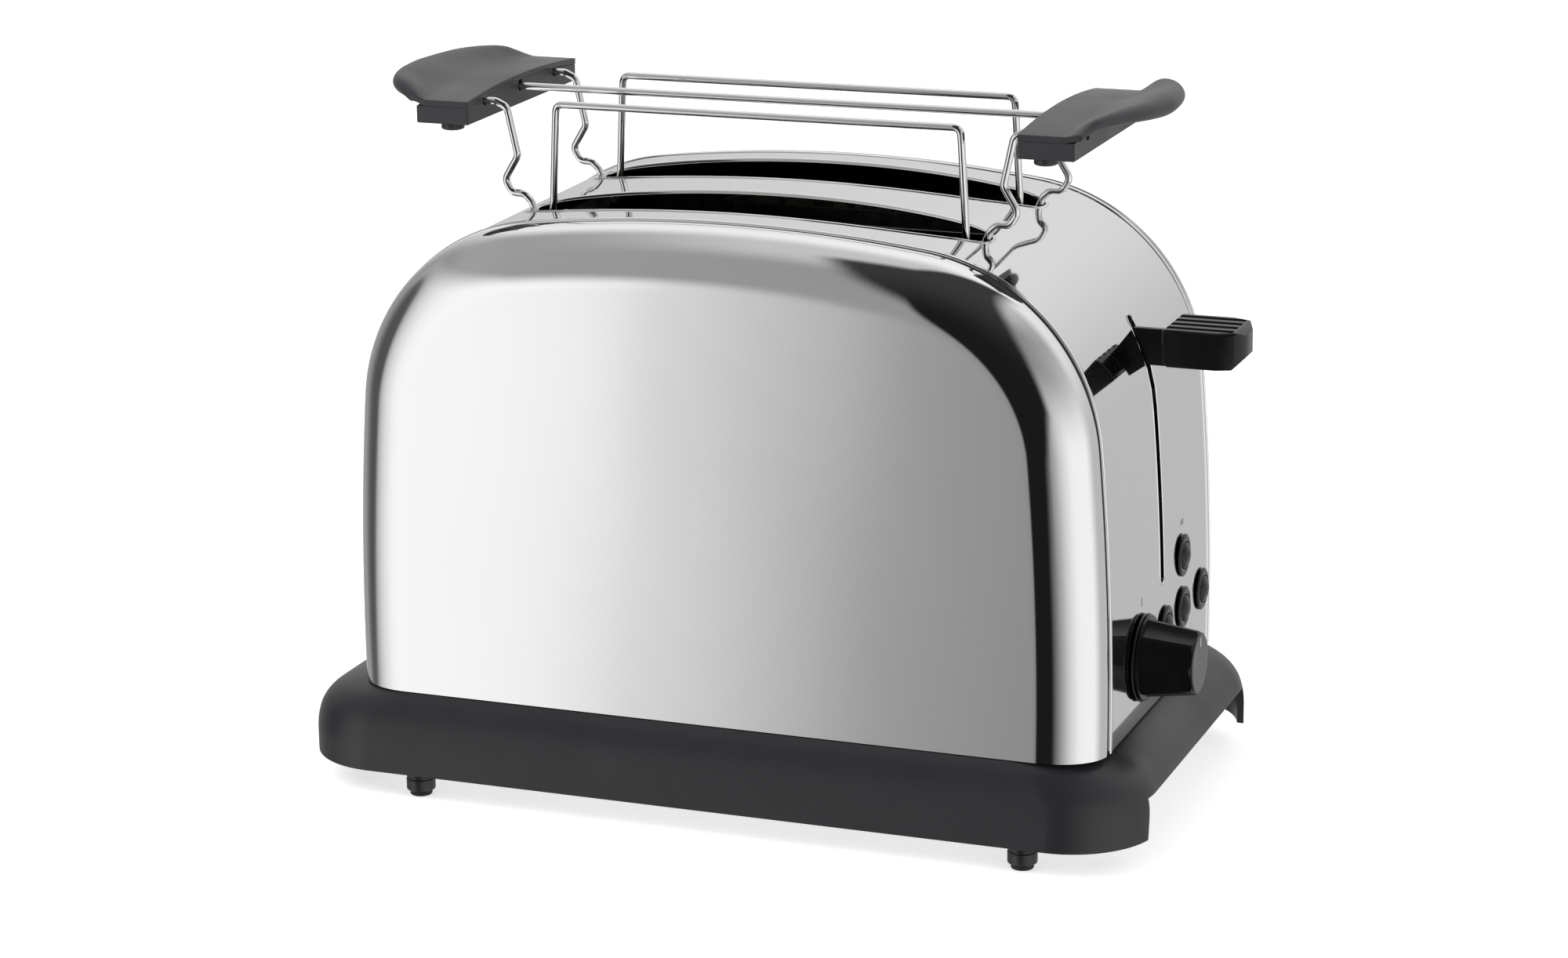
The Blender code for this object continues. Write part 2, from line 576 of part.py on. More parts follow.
def heating():
    reach = END_PLATE_X - FIT_GAP
    for tag, sign in (("front", -1), ("rear", 1)):
        for where, off in (("outer", HEATER_OFFSET), ("inner", -HEATER_OFFSET)):
            y = sign * (SLOT_Y + off)
            block("heater_%s_%s" % (tag, where), (-reach, y - 0.5 * MM, BASE_TOP_Z + 21.5 * MM),
                  (reach, y + 0.5 * MM, GUARD_TOP_Z - 4.8 * MM))
        y = sign * REFLECTOR_Y
        block("reflector_" + tag, (-reach, y - 0.3 * MM, BASE_TOP_Z + FIT_GAP), (reach, y + 0.3 * MM, GUARD_TOP_Z - 6.8 * MM))
        for where, off in (("outer", GUARD_OFFSET), ("inner", -GUARD_OFFSET)):
            y = sign * (SLOT_Y + off)
            xs = [-reach]
            for k in range(7):
                x = (k - 3) * (END_PLATE_X - 12 * MM) / 3
                xs += [x - 0.8 * MM, x + 0.8 * MM]
            xs.append(reach)
            low = BASE_TOP_Z + 23.5 * MM
            zs = [low, low + 1.8 * MM, GUARD_TOP_Z - 1.8 * MM, GUARD_TOP_Z]
            grid_plate("guard_%s_%s" % (tag, where), xs, zs, lambda i, j: j != 1 or i % 2 == 1,
                       "y", y - 0.8 * MM, y + 0.8 * MM)


def lift():
    z0 = CARRIAGE_LOW_Z
    plate_x = CARRIAGE_END_X
    inner = 3 * MM - END_PLATE_X
    for tag, sign in (("front", -1), ("rear", 1)):
        y = sign * SLOT_Y
        pitch = -inner / 6.75
        teeth = [(inner, z0), (plate_x - FIT_GAP, z0), (plate_x - FIT_GAP, z0 + 8 * MM), (-inner - 3 * MM, z0 + 8 * MM)]
        for k in range(12):
            x = -inner - 9 * MM - pitch * k
            teeth += [(x + 3 * MM, z0 + 8 * MM), (x, z0 + 10 * MM), (x - 3 * MM, z0 + 8 * MM)]
        teeth += [(inner, z0 + 8 * MM)]
        web = prism("carriage_" + tag, teeth, "y", y - 0.6 * MM, y + 0.6 * MM)
        bars = []
        for k in range(6):
            x = (2 * k - 5.5) * pitch
            bars.append(block("bar", (x - 1.5 * MM, y - 6 * MM, z0 + 3 * MM), (x + 1.5 * MM, y + 6 * MM, z0 + 4.2 * MM)))
        join(web, *bars)
    bracket = block("lift_bracket", (plate_x, -SLOT_Y - 5.6 * MM, z0), (plate_x + 1.2 * MM, SLOT_Y + 5.6 * MM, z0 + 12 * MM))
    neck = block("neck", (plate_x, LEVER_Y - 9 * MM, z0 + 5 * MM), (plate_x + 1.2 * MM, LEVER_Y + 9 * MM, ARM_HIGH_Z))
    slider = block("slider", (plate_x + 0.4 * MM, LEVER_Y - 6 * MM, ARM_LOW_Z - 2.3 * MM),
                   (ROD_X + 6 * MM, LEVER_Y + 6 * MM, ARM_HIGH_Z - 0.5 * MM))
    join(bracket, neck, slider)
    cut(bracket, bore("z", (ROD_X, LEVER_Y), ROD_RADIUS + ROD_CLEAR, ARM_LOW_Z - 12 * MM, ARM_HIGH_Z + 12 * MM))
    bore("z", (ROD_X, LEVER_Y), ROD_RADIUS, BASE_TOP_Z + FIT_GAP, TAB_Z + 3 * MM, name="guide_rod")
    # helical return spring under the slider, round the rod
    coils, per, round_rod = 8, 10, ROD_RADIUS + 2.1 * MM
    low, high = BASE_TOP_Z + 1.2 * MM, ARM_LOW_Z - 3.3 * MM
    path = []
    for k in range(coils * per + 1):
        a = 2 * math.pi * k / per
        path.append((ROD_X + round_rod * math.cos(a), LEVER_Y + round_rod * math.sin(a),
                     low + (high - low) * k / (coils * per)))
    wire("lift_spring", path, 0.6 * MM, 5)
    block("keeper_plate", (plate_x + 1.5 * MM, -29 * MM, z0 + 8.4 * MM),
          (plate_x + 16 * MM, -17 * MM, z0 + 10 * MM))
    block("latch_magnet", (plate_x + 4 * MM, -30 * MM, BASE_TOP_Z + FIT_GAP),
          (plate_x + 17 * MM, -16 * MM, z0 + 8.0 * MM - LEVER_TRAVEL))


# ---- controls on the end wall -------------------------------------------
def lever():
    block("lever_arm", (ROD_X + 6.3 * MM, LEVER_Y - ARM_HALF_THICK, ARM_LOW_Z),
          (GRIP_INNER_X - FIT_GAP, LEVER_Y + ARM_HALF_THICK, ARM_HIGH_Z))
    w, x0, x1 = GRIP_HALF_WIDTH, GRIP_INNER_X, GRIP_OUTER_X
    straight = x0 + 0.70 * (x1 - x0)
    outline = [(x0, -w), (straight, -w)]
    for k in range(1, 6):
        a = -math.pi / 2 + math.pi * k / 6
        outline.append((straight + (x1 - straight) * math.cos(a) ** 0.7, w * math.sin(a)))
    outline += [(straight, w), (x0, w)]
    shrink = lambda d: [(max(x - d, x0) if x > x0 else x, y * (1 - d / w)) for x, y in outline]
    rings = []
    for z, d in ((GRIP_LOW_Z, 1.6 * MM), (GRIP_LOW_Z + 1.2 * MM, 0.3 * MM), (GRIP_LOW_Z + 3 * MM, 0.0),
                 (GRIP_HIGH_Z - 4 * MM, 0.0), (GRIP_HIGH_Z - 1.5 * MM, 0.8 * MM), (GRIP_HIGH_Z, 3.0 * MM)):
        rings.append([(x, y + LEVER_Y, z) for x, y in shrink(d)])
    grip = loft("lever_grip", rings)
    grooves = []
    for y in (-6.6, -2.2, 2.2, 6.6):
        grooves.append(block("groove", (x0 - 2 * MM, LEVER_Y + (y - 0.6) * MM, GRIP_HIGH_Z - 0.9 * MM),
                             (straight + 1 * MM, LEVER_Y + (y + 0.6) * MM, GRIP_HIGH_Z + 2 * MM)))
    cut(grip, *grooves)


def knob():
    r = KNOB_FLANGE_RADIUS
    back = max(wall_x(KNOB_Z - r), wall_x(KNOB_Z), wall_x(KNOB_Z + r), BODY_HALF_WIDTH) + FIT_GAP
    step = back + 2.4 * MM
    rings = []
    ribs, segs = 8, 32

    def ring(x, r, flute):
        pts = []
        for i in range(segs):
            a = 2 * math.pi * (i + 0.5) / segs
            dip = flute * (0.5 - 0.5 * math.cos(ribs * a)) ** 0.6
            pts.append((x, KNOB_Y + (r - dip) * math.cos(a), KNOB_Z + (r - dip) * math.sin(a)))
        return pts

    rings.append(ring(back, KNOB_FLANGE_RADIUS - 0.4 * MM, 0))
    rings.append(ring(back + 1.2 * MM, KNOB_FLANGE_RADIUS, 0))
    rings.append(ring(step, KNOB_FLANGE_RADIUS - 0.6 * MM, 0))
    rings.append(ring(step + 0.1 * MM, KNOB_ROOT_RADIUS, 0.9 * MM))
    rings.append(ring(KNOB_TIP_X - 1.2 * MM, KNOB_END_RADIUS, 0.7 * MM))
    rings.append(ring(KNOB_TIP_X - 1.1 * MM, KNOB_END_RADIUS - 0.2 * MM, 0))
    rings.append(ring(KNOB_TIP_X - 0.3 * MM, KNOB_END_RADIUS - 0.3 * MM, 0))
    rings.append(ring(KNOB_TIP_X, KNOB_END_RADIUS - 1.2 * MM, 0))
    loft("browning_knob", rings)
    pot = BOARD_FACE_X + FIT_GAP
    block("browning_control", (pot, KNOB_Y - 8 * MM, KNOB_Z - 8 * MM), (pot + 4.2 * MM, KNOB_Y + 8 * MM, KNOB_Z + 8 * MM))
    bore("x", (KNOB_Y, KNOB_Z), SHAFT_RADIUS, pot + 4.5 * MM, back - 0.2 * MM, name="knob_shaft")


def buttons():
    for name, (y, z) in BUTTONS.items():
        wall = wall_x(z)
        r = BUTTON_RING_RADIUS
        hole = BUTTON_CAP_RADIUS + 0.25 * MM
        turned("button_ring_" + name, [(wall + 0.3 * MM, hole), (wall + 0.3 * MM, r - 0.1 * MM), (wall + 0.8 * MM, r),
                                       (wall + 1.5 * MM, r - 1.1 * MM), (wall + 1.5 * MM, hole)],
               "x", (y, z), 16, tube=True)
        front = wall + 3.4 * MM
        stem_end = BOARD_FACE_X + 3.2 * MM + BUTTON_TRAVEL + 0.4 * MM
        turned("button_" + name, [(stem_end, 1.8 * MM), (wall - 3 * MM, 1.8 * MM), (wall - 2.95 * MM, BUTTON_CAP_RADIUS - 0.1 * MM),
                                  (wall + 1.9 * MM, BUTTON_CAP_RADIUS), (wall + 2.7 * MM, BUTTON_CAP_RADIUS * 0.84),
                                  (wall + 3.2 * MM, BUTTON_CAP_RADIUS * 0.52), (front, BUTTON_CAP_RADIUS * 0.2)],
               "x", (y, z), 16)


def control_board():
    ys = [-40 * MM, 9 * MM, 54 * MM]
    zs = [BASE_TOP_Z + FIT_GAP, 66 * MM, 92 * MM]
    board = grid_plate("control_board", ys, zs, lambda i, j: not (i == 0 and j == 1), "x", BOARD_X, BOARD_FACE_X)
    face = BOARD_FACE_X - 0.1 * MM
    join(board, *[block("switch", (face, y - 3 * MM, z - 3 * MM), (face + 3.3 * MM, y + 3 * MM, z + 3 * MM))
                  for y, z in BUTTONS.values()])


# ---- bun-warming rack -----------------------------------------------------
def handle_crown(y):
    return RACK_BAR_Z + (1.7 + 2.3 * (1 - (y / HANDLE_HALF_DEPTH) ** 2)) * MM


def rack():
    # one leg: its upper points hang from the bar, its hook follows the crown beside the slot's end
    seat = crown_z(RACK_LOOP_X + 12.0 * MM)
    upper = [(38.6, 0.0), (21.1, 0.0), (17.2, -1.8), (13.8, -17.4)]
    hook = [(18.5, 10.1), (16.2, 5.9), (12.0, 5.8), (9.5, 3.5), (6.2, -4.5), (4.2, -7.1), (2.2, -4.5)]
    back = [(0.4, -5.0), (0.0, 0.0)]
    half = [(RACK_LOOP_X + dx * MM, z0 + dz * MM)
            for points, z0 in ((upper, RACK_BAR_Z), (hook, seat), (back, RACK_BAR_Z)) for dx, dz in points]
    bar_end = half[0][0]
    for tag, sign in (("front", -1), ("rear", 1)):
        y = sign * RACK_WIRE_Y
        outline = [(-x, y, z) for x, z in half] + [(x, y, z) for x, z in half[::-1]]
        wire("rack_wire_" + tag, round_corners(outline, 2.6 * MM, 2), WIRE_RADIUS, 7)
    wire("rack_wire_centre", [(-bar_end, 0, RACK_BAR_Z), (bar_end, 0, RACK_BAR_Z)], WIRE_RADIUS, 7)
    low = RACK_BAR_Z - 5.8 * MM
    for tag, sign in (("left", -1), ("right", 1)):
        skin = 1.6 * MM
        top = lambda y: handle_crown(y) - skin - 0.25 * MM
        comb = [(-HANDLE_HALF_DEPTH, low), (HANDLE_HALF_DEPTH, low)]
        g, floor = WIRE_RADIUS + 0.15 * MM, RACK_BAR_Z - WIRE_RADIUS - 0.15 * MM
        for y in (RACK_WIRE_Y, 0.0, -RACK_WIRE_Y):
            crest = HANDLE_HALF_DEPTH if y > 0 else y + RACK_WIRE_Y - 14.4 * MM
            comb += [(crest, top(crest)), (y + g, top(y + g)), (y + g, floor), (y - g, floor), (y - g, top(y - g))]
        comb += [(-HANDLE_HALF_DEPTH, top(-HANDLE_HALF_DEPTH))]
        a, b = sign * HANDLE_INNER_X, sign * (HANDLE_INNER_X + HANDLE_BLOCK_WIDTH)
        prism("handle_block_" + tag, comb, "x", min(a, b), max(a, b))
        # flowing cover: flat inner strip, rising crest, rolled outer lip
        rows_u = (0.0, 0.06, 0.25, 0.42, 0.55, 0.68, 0.80, 0.90, 0.97, 1.0)
        lift_u = (0.0, 0.1, 0.0, 0.6, 2.8, 5.2, 5.6, 3.6, 0.0, -2.6)
        cols = [k / 6 for k in range(-6, 7)]
        upper, lower = [], []
        for v in cols:
            y = HANDLE_HALF_DEPTH * v
            swell = math.cos(math.pi / 2 * v)
            reach = HANDLE_BLOCK_WIDTH + 0.4 * MM + (HANDLE_REACH - HANDLE_BLOCK_WIDTH) * swell ** 0.75
            up = []
            for u, h in zip(rows_u, lift_u):
                z = handle_crown(y) + h * MM * swell ** 0.7
                up.append((sign * (HANDLE_INNER_X + u * reach), y, z))
            upper.append(up)
            down = []
            for k, (x, yy, z) in enumerate(up):
                if k >= 8:
                    x -= sign * 1.2 * MM * swell * (1 if k == 9 else 0.6)
                drop = skin if k < 8 else skin * 0.9
                down.append((x, yy, z - drop))
            lower.append(down)
        n = len(rows_u)
        rings = [up + down[::-1] for up, down in zip(upper, lower)]
        loft("handle_cover_" + tag, rings)
        for where, s in (("front", -1), ("rear", 1)):
            turned("handle_boss_%s_%s" % (tag, where),
                   [(low - 2.3 * MM, 3.2 * MM), (low - 2.0 * MM, 3.7 * MM), (low - 0.2 * MM, 3.7 * MM)], "z",
                   (sign * (HANDLE_INNER_X + 7.5 * MM), s * (HANDLE_HALF_DEPTH - 4.7 * MM)), 14)


# ---- build ----------------------------------------------------------------
for ob in list(bpy.data.objects):
    bpy.data.objects.remove(ob)

base()
bottom_plate()
feet()
crumb_tray()
cord_gland()
pan("front_panel", -1)
pan("rear_panel", 1)
centre_band()
end_plates()
heating()
lift()
lever()
knob()
buttons()
control_board()
rack()

# origin at the middle of the overall box, on the table plane
low = Vector((min(v.co[i] for ob in made for v in ob.data.vertices) for i in range(3)))
high = Vector((max(v.co[i] for ob in made for v in ob.data.vertices) for i in range(3)))
shift = Vector((-(low.x + high.x) / 2, -(low.y + high.y) / 2, -low.z))

# colour, roughness and metallic value of each material
FINISHES = {
    "polished_steel": ((0.80, 0.80, 0.81), 0.05, 1.0),
    "plated_wire": ((0.78, 0.78, 0.80), 0.08, 1.0),
    "chassis_steel": ((0.55, 0.56, 0.57), 0.40, 1.0),
    "handle_plastic": ((0.085, 0.085, 0.095), 0.55, 0.0),
    "base_plastic": ((0.045, 0.045, 0.050), 0.50, 0.0),
    "control_plastic": ((0.020, 0.020, 0.022), 0.30, 0.0),
    "soft_rubber": ((0.030, 0.030, 0.030), 0.80, 0.0),
    "heater_mica": ((0.55, 0.47, 0.36), 0.70, 0.0),
    "circuit_board": ((0.05, 0.20, 0.10), 0.50, 0.0),
}
WEARS = (                        # start of a piece's name, its material
    ("front_panel", "polished_steel"), ("rear_panel", "polished_steel"), ("centre_band", "polished_steel"),
    ("rack_wire", "plated_wire"), ("handle_", "handle_plastic"), ("base", "base_plastic"),
    ("foot_", "base_plastic"), ("tip_", "soft_rubber"), ("cord_gland", "soft_rubber"),
    ("browning_knob", "control_plastic"), ("lever_grip", "control_plastic"), ("button_", "control_plastic"),
    ("heater_", "heater_mica"), ("control_board", "circuit_board"), ("browning_control", "circuit_board"),
    ("", "chassis_steel"),
)
# each moving group hangs from an empty that lies on its joint's axis
AXES = {
    "lift_slide": ((ROD_X, LEVER_Y, ARM_LOW_Z), ("lever_", "lift_bracket", "carriage_", "keeper_plate")),
    "knob_axis": ((wall_x(KNOB_Z), KNOB_Y, KNOB_Z), ("browning_knob", "knob_shaft")),
    "tray_slide": ((BASE_OFFSET - BASE_HALF_LENGTH, 0, BASE_BOTTOM_Z + 3.1 * MM), ("crumb_tray",)),
    "rack_lift": ((0, 0, RACK_BAR_Z), ("rack_wire", "handle_")),
}
for key, (y, z) in BUTTONS.items():
    AXES[key + "_press"] = ((wall_x(z), y, z), ("button_" + key,))


def paint(ob):
    key = next(m for start, m in WEARS if ob.name.startswith(start))
    mat = bpy.data.materials.get(key)
    if mat is None:
        mat = bpy.data.materials.new(key)
        mat.use_nodes = True
        colour, rough, metal = FINISHES[key]
        shader = mat.node_tree.nodes["Principled BSDF"]
        shader.inputs["Base Color"].default_value = (*colour, 1.0)
        shader.inputs["Roughness"].default_value = rough
        shader.inputs["Metallic"].default_value = metal
    ob.data.materials.clear()
    ob.data.materials.append(mat)


def place(ob, parent, origin):
    """Move the mesh so that its origin is where the piece is held or turns."""
    ob.data.transform(Matrix.Translation(-origin))
    ob.parent = parent
    ob.location = origin + shift - parent.location
    ob.data.shade_smooth()
    ob.data.set_sharp_from_angle(angle=math.radians(32))
    ob.data.update()


def empty(name, at):
    ob = bpy.data.objects.new(name, None)
    ob.empty_display_size = 0.02
    ob.location = Vector(at) + shift
    bpy.context.scene.collection.objects.link(ob)
    return ob


housing = empty("housing_origin", -shift)
axes = {key: (empty(key, at), Vector(at), starts) for key, (at, starts) in AXES.items()}
for ob in made:
    paint(ob)
    for carrier, at, starts in axes.values():
        if ob.name.startswith(starts):
            place(ob, carrier, at)
            break
    else:
        box = [Vector(c) for c in ob.bound_box]
        place(ob, housing, (box[0] + box[6]) / 2)
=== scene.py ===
"""Looks of a pop-up toaster: polished steel body, charcoal base and a lift-off bun rack.

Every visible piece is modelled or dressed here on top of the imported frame.
Metres, +Z up, front panel facing -Y, lever end facing +X.
"""
from __future__ import annotations

import logging
import math
from collections.abc import Callable
from dataclasses import dataclass, field
from enum import Enum

import bmesh
import bpy
from bpy.types import Material, Object
from mathutils import Matrix, Vector

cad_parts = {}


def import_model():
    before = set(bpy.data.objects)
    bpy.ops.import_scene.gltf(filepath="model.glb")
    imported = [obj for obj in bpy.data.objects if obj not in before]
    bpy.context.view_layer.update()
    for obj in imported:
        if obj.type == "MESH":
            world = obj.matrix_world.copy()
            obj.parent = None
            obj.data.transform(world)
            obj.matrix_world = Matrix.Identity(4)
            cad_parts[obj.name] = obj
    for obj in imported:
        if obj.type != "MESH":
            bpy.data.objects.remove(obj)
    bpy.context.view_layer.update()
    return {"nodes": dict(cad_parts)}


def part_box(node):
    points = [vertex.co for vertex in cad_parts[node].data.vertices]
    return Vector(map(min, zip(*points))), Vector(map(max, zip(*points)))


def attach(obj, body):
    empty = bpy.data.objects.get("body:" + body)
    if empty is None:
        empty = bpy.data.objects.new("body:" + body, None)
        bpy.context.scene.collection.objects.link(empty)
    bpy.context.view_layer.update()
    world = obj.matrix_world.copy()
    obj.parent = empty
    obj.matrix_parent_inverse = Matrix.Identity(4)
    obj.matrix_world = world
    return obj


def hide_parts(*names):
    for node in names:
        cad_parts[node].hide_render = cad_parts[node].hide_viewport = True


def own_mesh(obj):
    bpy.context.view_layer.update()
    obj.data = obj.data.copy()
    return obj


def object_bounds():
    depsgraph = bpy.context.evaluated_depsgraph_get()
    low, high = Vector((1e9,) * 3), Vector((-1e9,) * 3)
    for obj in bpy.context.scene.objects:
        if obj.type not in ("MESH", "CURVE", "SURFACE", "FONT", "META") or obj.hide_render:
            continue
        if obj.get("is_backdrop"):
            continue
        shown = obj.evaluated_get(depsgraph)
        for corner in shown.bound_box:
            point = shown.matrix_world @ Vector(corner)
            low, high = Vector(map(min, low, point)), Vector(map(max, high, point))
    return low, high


LOG = logging.getLogger("toaster")
MM = 0.001
SAME_SPOT = 1e-6
BUTTONS = ("cancel", "defrost", "reheat", "bagel")
Point = tuple[float, float, float]
Pair = tuple[float, float]
Nodes = dict[str, Object]
Socket = bpy.types.NodeSocket
Node = bpy.types.Node
NodeTree = bpy.types.NodeTree


class Body(str, Enum):
    """Moving groups of the frame."""

    HOUSING = "housing"
    LIFT = "lift"
    KNOB = "knob"
    TRAY = "tray"
    RACK = "rack"


class Slot(str, Enum):
    """Material slots of the record."""

    STEEL = "polished_steel"
    WIRE = "plated_wire"
    HANDLE = "handle_plastic"
    BASE = "base_plastic"
    CONTROL = "control_plastic"
    RUBBER = "rubber"
    CHASSIS = "chassis_steel"
    MICA = "heater_mica"
    BOARD = "board"
    SPRING = "spring_steel"


# ---- finishes ---------------------------------------------------------------
@dataclass(frozen=True)
class Finish:
    """One surface finish, built from Principled nodes and noise in object space.

    Scales are in features per metre and depths in metres.
    """

    name: str
    slot: Slot
    colour: Point
    rough: float
    metal: float = 0.0
    rough_spread: float = 0.0
    rough_scale: float = 40.0
    tint: float = 0.0
    tint_scale: float = 60.0
    grain: float = 0.0
    grain_scale: float = 900.0
    wave: float = 0.0
    wave_scale: float = 9.0
    specular: float = 0.5
    cells: bool = False

    def material(self) -> Material:
        """Build the finish once and hand back the same material afterwards.

        Returns:
            The node material.
        """
        found = bpy.data.materials.get(self.name)
        if found is not None:
            return found
        mat = bpy.data.materials.new(self.name)
        mat.use_nodes = True
        tree = mat.node_tree
        shader = tree.nodes["Principled BSDF"]
        shader.inputs["Base Color"].default_value = (*self.colour, 1.0)
        shader.inputs["Roughness"].default_value = self.rough
        shader.inputs["Metallic"].default_value = self.metal
        shader.inputs["Specular IOR Level"].default_value = self.specular
        coords = tree.nodes.new("ShaderNodeTexCoord")
        mapping = tree.nodes.new("ShaderNodeMapping")
        tree.links.new(coords.outputs["Object"], mapping.inputs["Vector"])
        if self.rough_spread:
            spread = self._noise(tree, mapping, self.rough_scale, 4.0)
            level = self._range(tree, spread, self.rough - self.rough_spread, self.rough + self.rough_spread)
            tree.links.new(level, shader.inputs["Roughness"])
        if self.tint:
            shade = (self._cells(tree, mapping) if self.cells
                     else self._noise(tree, mapping, self.tint_scale, 3.0))
            ramp = tree.nodes.new("ShaderNodeValToRGB")
            ramp.color_ramp.elements[0].position = 0.3
            ramp.color_ramp.elements[1].position = 0.7
            ramp.color_ramp.elements[0].color = (*(c * (1 - self.tint) for c in self.colour), 1.0)
            ramp.color_ramp.elements[1].color = (*(min(1.0, c * (1 + self.tint)) for c in self.colour), 1.0)
            tree.links.new(shade, ramp.inputs["Fac"])
            tree.links.new(ramp.outputs["Color"], shader.inputs["Base Color"])
        normal = None
        for depth, scale, detail in ((self.wave, self.wave_scale, 1.0), (self.grain, self.grain_scale, 3.0)):
            if not depth:
                continue
            bump = tree.nodes.new("ShaderNodeBump")
            bump.inputs["Strength"].default_value = 1.0
            bump.inputs["Distance"].default_value = depth
            tree.links.new(self._noise(tree, mapping, scale, detail), bump.inputs["Height"])
            if normal is not None:
                tree.links.new(normal, bump.inputs["Normal"])
            normal = bump.outputs["Normal"]
        if normal is not None:
            tree.links.new(normal, shader.inputs["Normal"])
        return mat

    def _noise(self, tree: NodeTree, mapping: Node, scale: float, detail: float) -> Socket:
        """Noise, as a height or a mask.

        Args:
            tree: the material's nodes.
            mapping: where the noise takes its coordinates.
            scale: features per metre.
            detail: finer layers on top of the first.

        Returns:
            The noise's value.
        """
        noise = tree.nodes.new("ShaderNodeTexNoise")
        noise.inputs["Scale"].default_value = scale
        noise.inputs["Detail"].default_value = detail
        tree.links.new(mapping.outputs["Vector"], noise.inputs["Vector"])
        return noise.outputs["Fac"]

    def _cells(self, tree: NodeTree, mapping: Node) -> Socket:
        """Crystal-like cells, as on zinc or mica.

        Args:
            tree: the material's nodes.
            mapping: where the cells take their coordinates.

        Returns:
            One random level for each cell.
        """
        cells = tree.nodes.new("ShaderNodeTexVoronoi")
        cells.inputs["Scale"].default_value = self.tint_scale
        tree.links.new(mapping.outputs["Vector"], cells.inputs["Vector"])
        return cells.outputs["Color"]

    def _range(self, tree: NodeTree, value: Socket, low: float, high: float) -> Socket:
        """Stretch the middle of a noise over a range.

        Args:
            tree: the material's nodes.
            value: the noise.
            low: level where the noise is weak.
            high: level where it is strong.

        Returns:
            The stretched value.
        """
        span = tree.nodes.new("ShaderNodeMapRange")
        span.inputs["From Min"].default_value = 0.3
        span.inputs["From Max"].default_value = 0.7
        span.inputs["To Min"].default_value = low
        span.inputs["To Max"].default_value = high
        tree.links.new(value, span.inputs["Value"])
        return span.outputs["Result"]


MIRROR_STEEL = Finish("mirror_steel", Slot.STEEL, (0.80, 0.80, 0.805), 0.045, 1.0, rough_spread=0.015,
                      rough_scale=22.0, wave=0.00035, wave_scale=7.0, grain=0.0000012, grain_scale=500.0)
BRIGHT_WIRE = Finish("bright_wire", Slot.WIRE, (0.80, 0.80, 0.79), 0.09, 1.0, rough_spread=0.03,
                     rough_scale=160.0, grain=0.000004, grain_scale=900.0)
GREY_GRIP = Finish("grey_grip", Slot.HANDLE, (0.040, 0.041, 0.045), 0.40, rough_spread=0.06, tint=0.05,
                   grain=0.00006, grain_scale=1600.0)
CHARCOAL = Finish("charcoal_plastic", Slot.BASE, (0.024, 0.0245, 0.028), 0.38, rough_spread=0.05, tint=0.06,
                  grain=0.00004, grain_scale=1500.0)
JET = Finish("jet_plastic", Slot.CONTROL, (0.0075, 0.0075, 0.008), 0.24, rough_spread=0.05, tint=0.10,
             grain=0.00002, grain_scale=1400.0, specular=0.28)
JET_GLOSS = Finish("jet_gloss", Slot.CONTROL, (0.004, 0.004, 0.0045), 0.08, rough_spread=0.03, tint=0.10,
                   grain=0.000006, grain_scale=900.0, specular=0.30)
JET_CAP = Finish("jet_cap", Slot.CONTROL, (0.008, 0.008, 0.009), 0.13, rough_spread=0.06, tint=0.35,
                 tint_scale=1500.0, grain=0.00030, grain_scale=1500.0, specular=0.45)
GREY_DISC = Finish("grey_disc", Slot.CONTROL, (0.085, 0.085, 0.088), 0.30, 0.6, rough_spread=0.06, tint=0.08,
                   grain=0.00002, grain_scale=900.0)
PRINT = Finish("grey_print", Slot.CONTROL, (0.16, 0.16, 0.17), 0.5, tint=0.08)
PALE_MARK = Finish("pale_mark", Slot.CONTROL, (0.62, 0.62, 0.62), 0.5, tint=0.05)
SOFT_TIP = Finish("soft_tip", Slot.RUBBER, (0.016, 0.016, 0.017), 0.7, tint=0.12, grain=0.00005)
ZINC = Finish("zinc_sheet", Slot.CHASSIS, (0.52, 0.53, 0.54), 0.33, 1.0, rough_spread=0.08, tint=0.16,
              tint_scale=190.0, cells=True)
MICA = Finish("pressed_mica", Slot.MICA, (0.46, 0.38, 0.27), 0.55, tint=0.28, tint_scale=300.0, cells=True,
              grain=0.00006, grain_scale=700.0)
GREEN_BOARD = Finish("green_board", Slot.BOARD, (0.03, 0.16, 0.07), 0.4, tint=0.12, tint_scale=250.0)
SPRING_WIRE = Finish("spring_wire", Slot.SPRING, (0.45, 0.45, 0.45), 0.3, 1.0, tint=0.1)


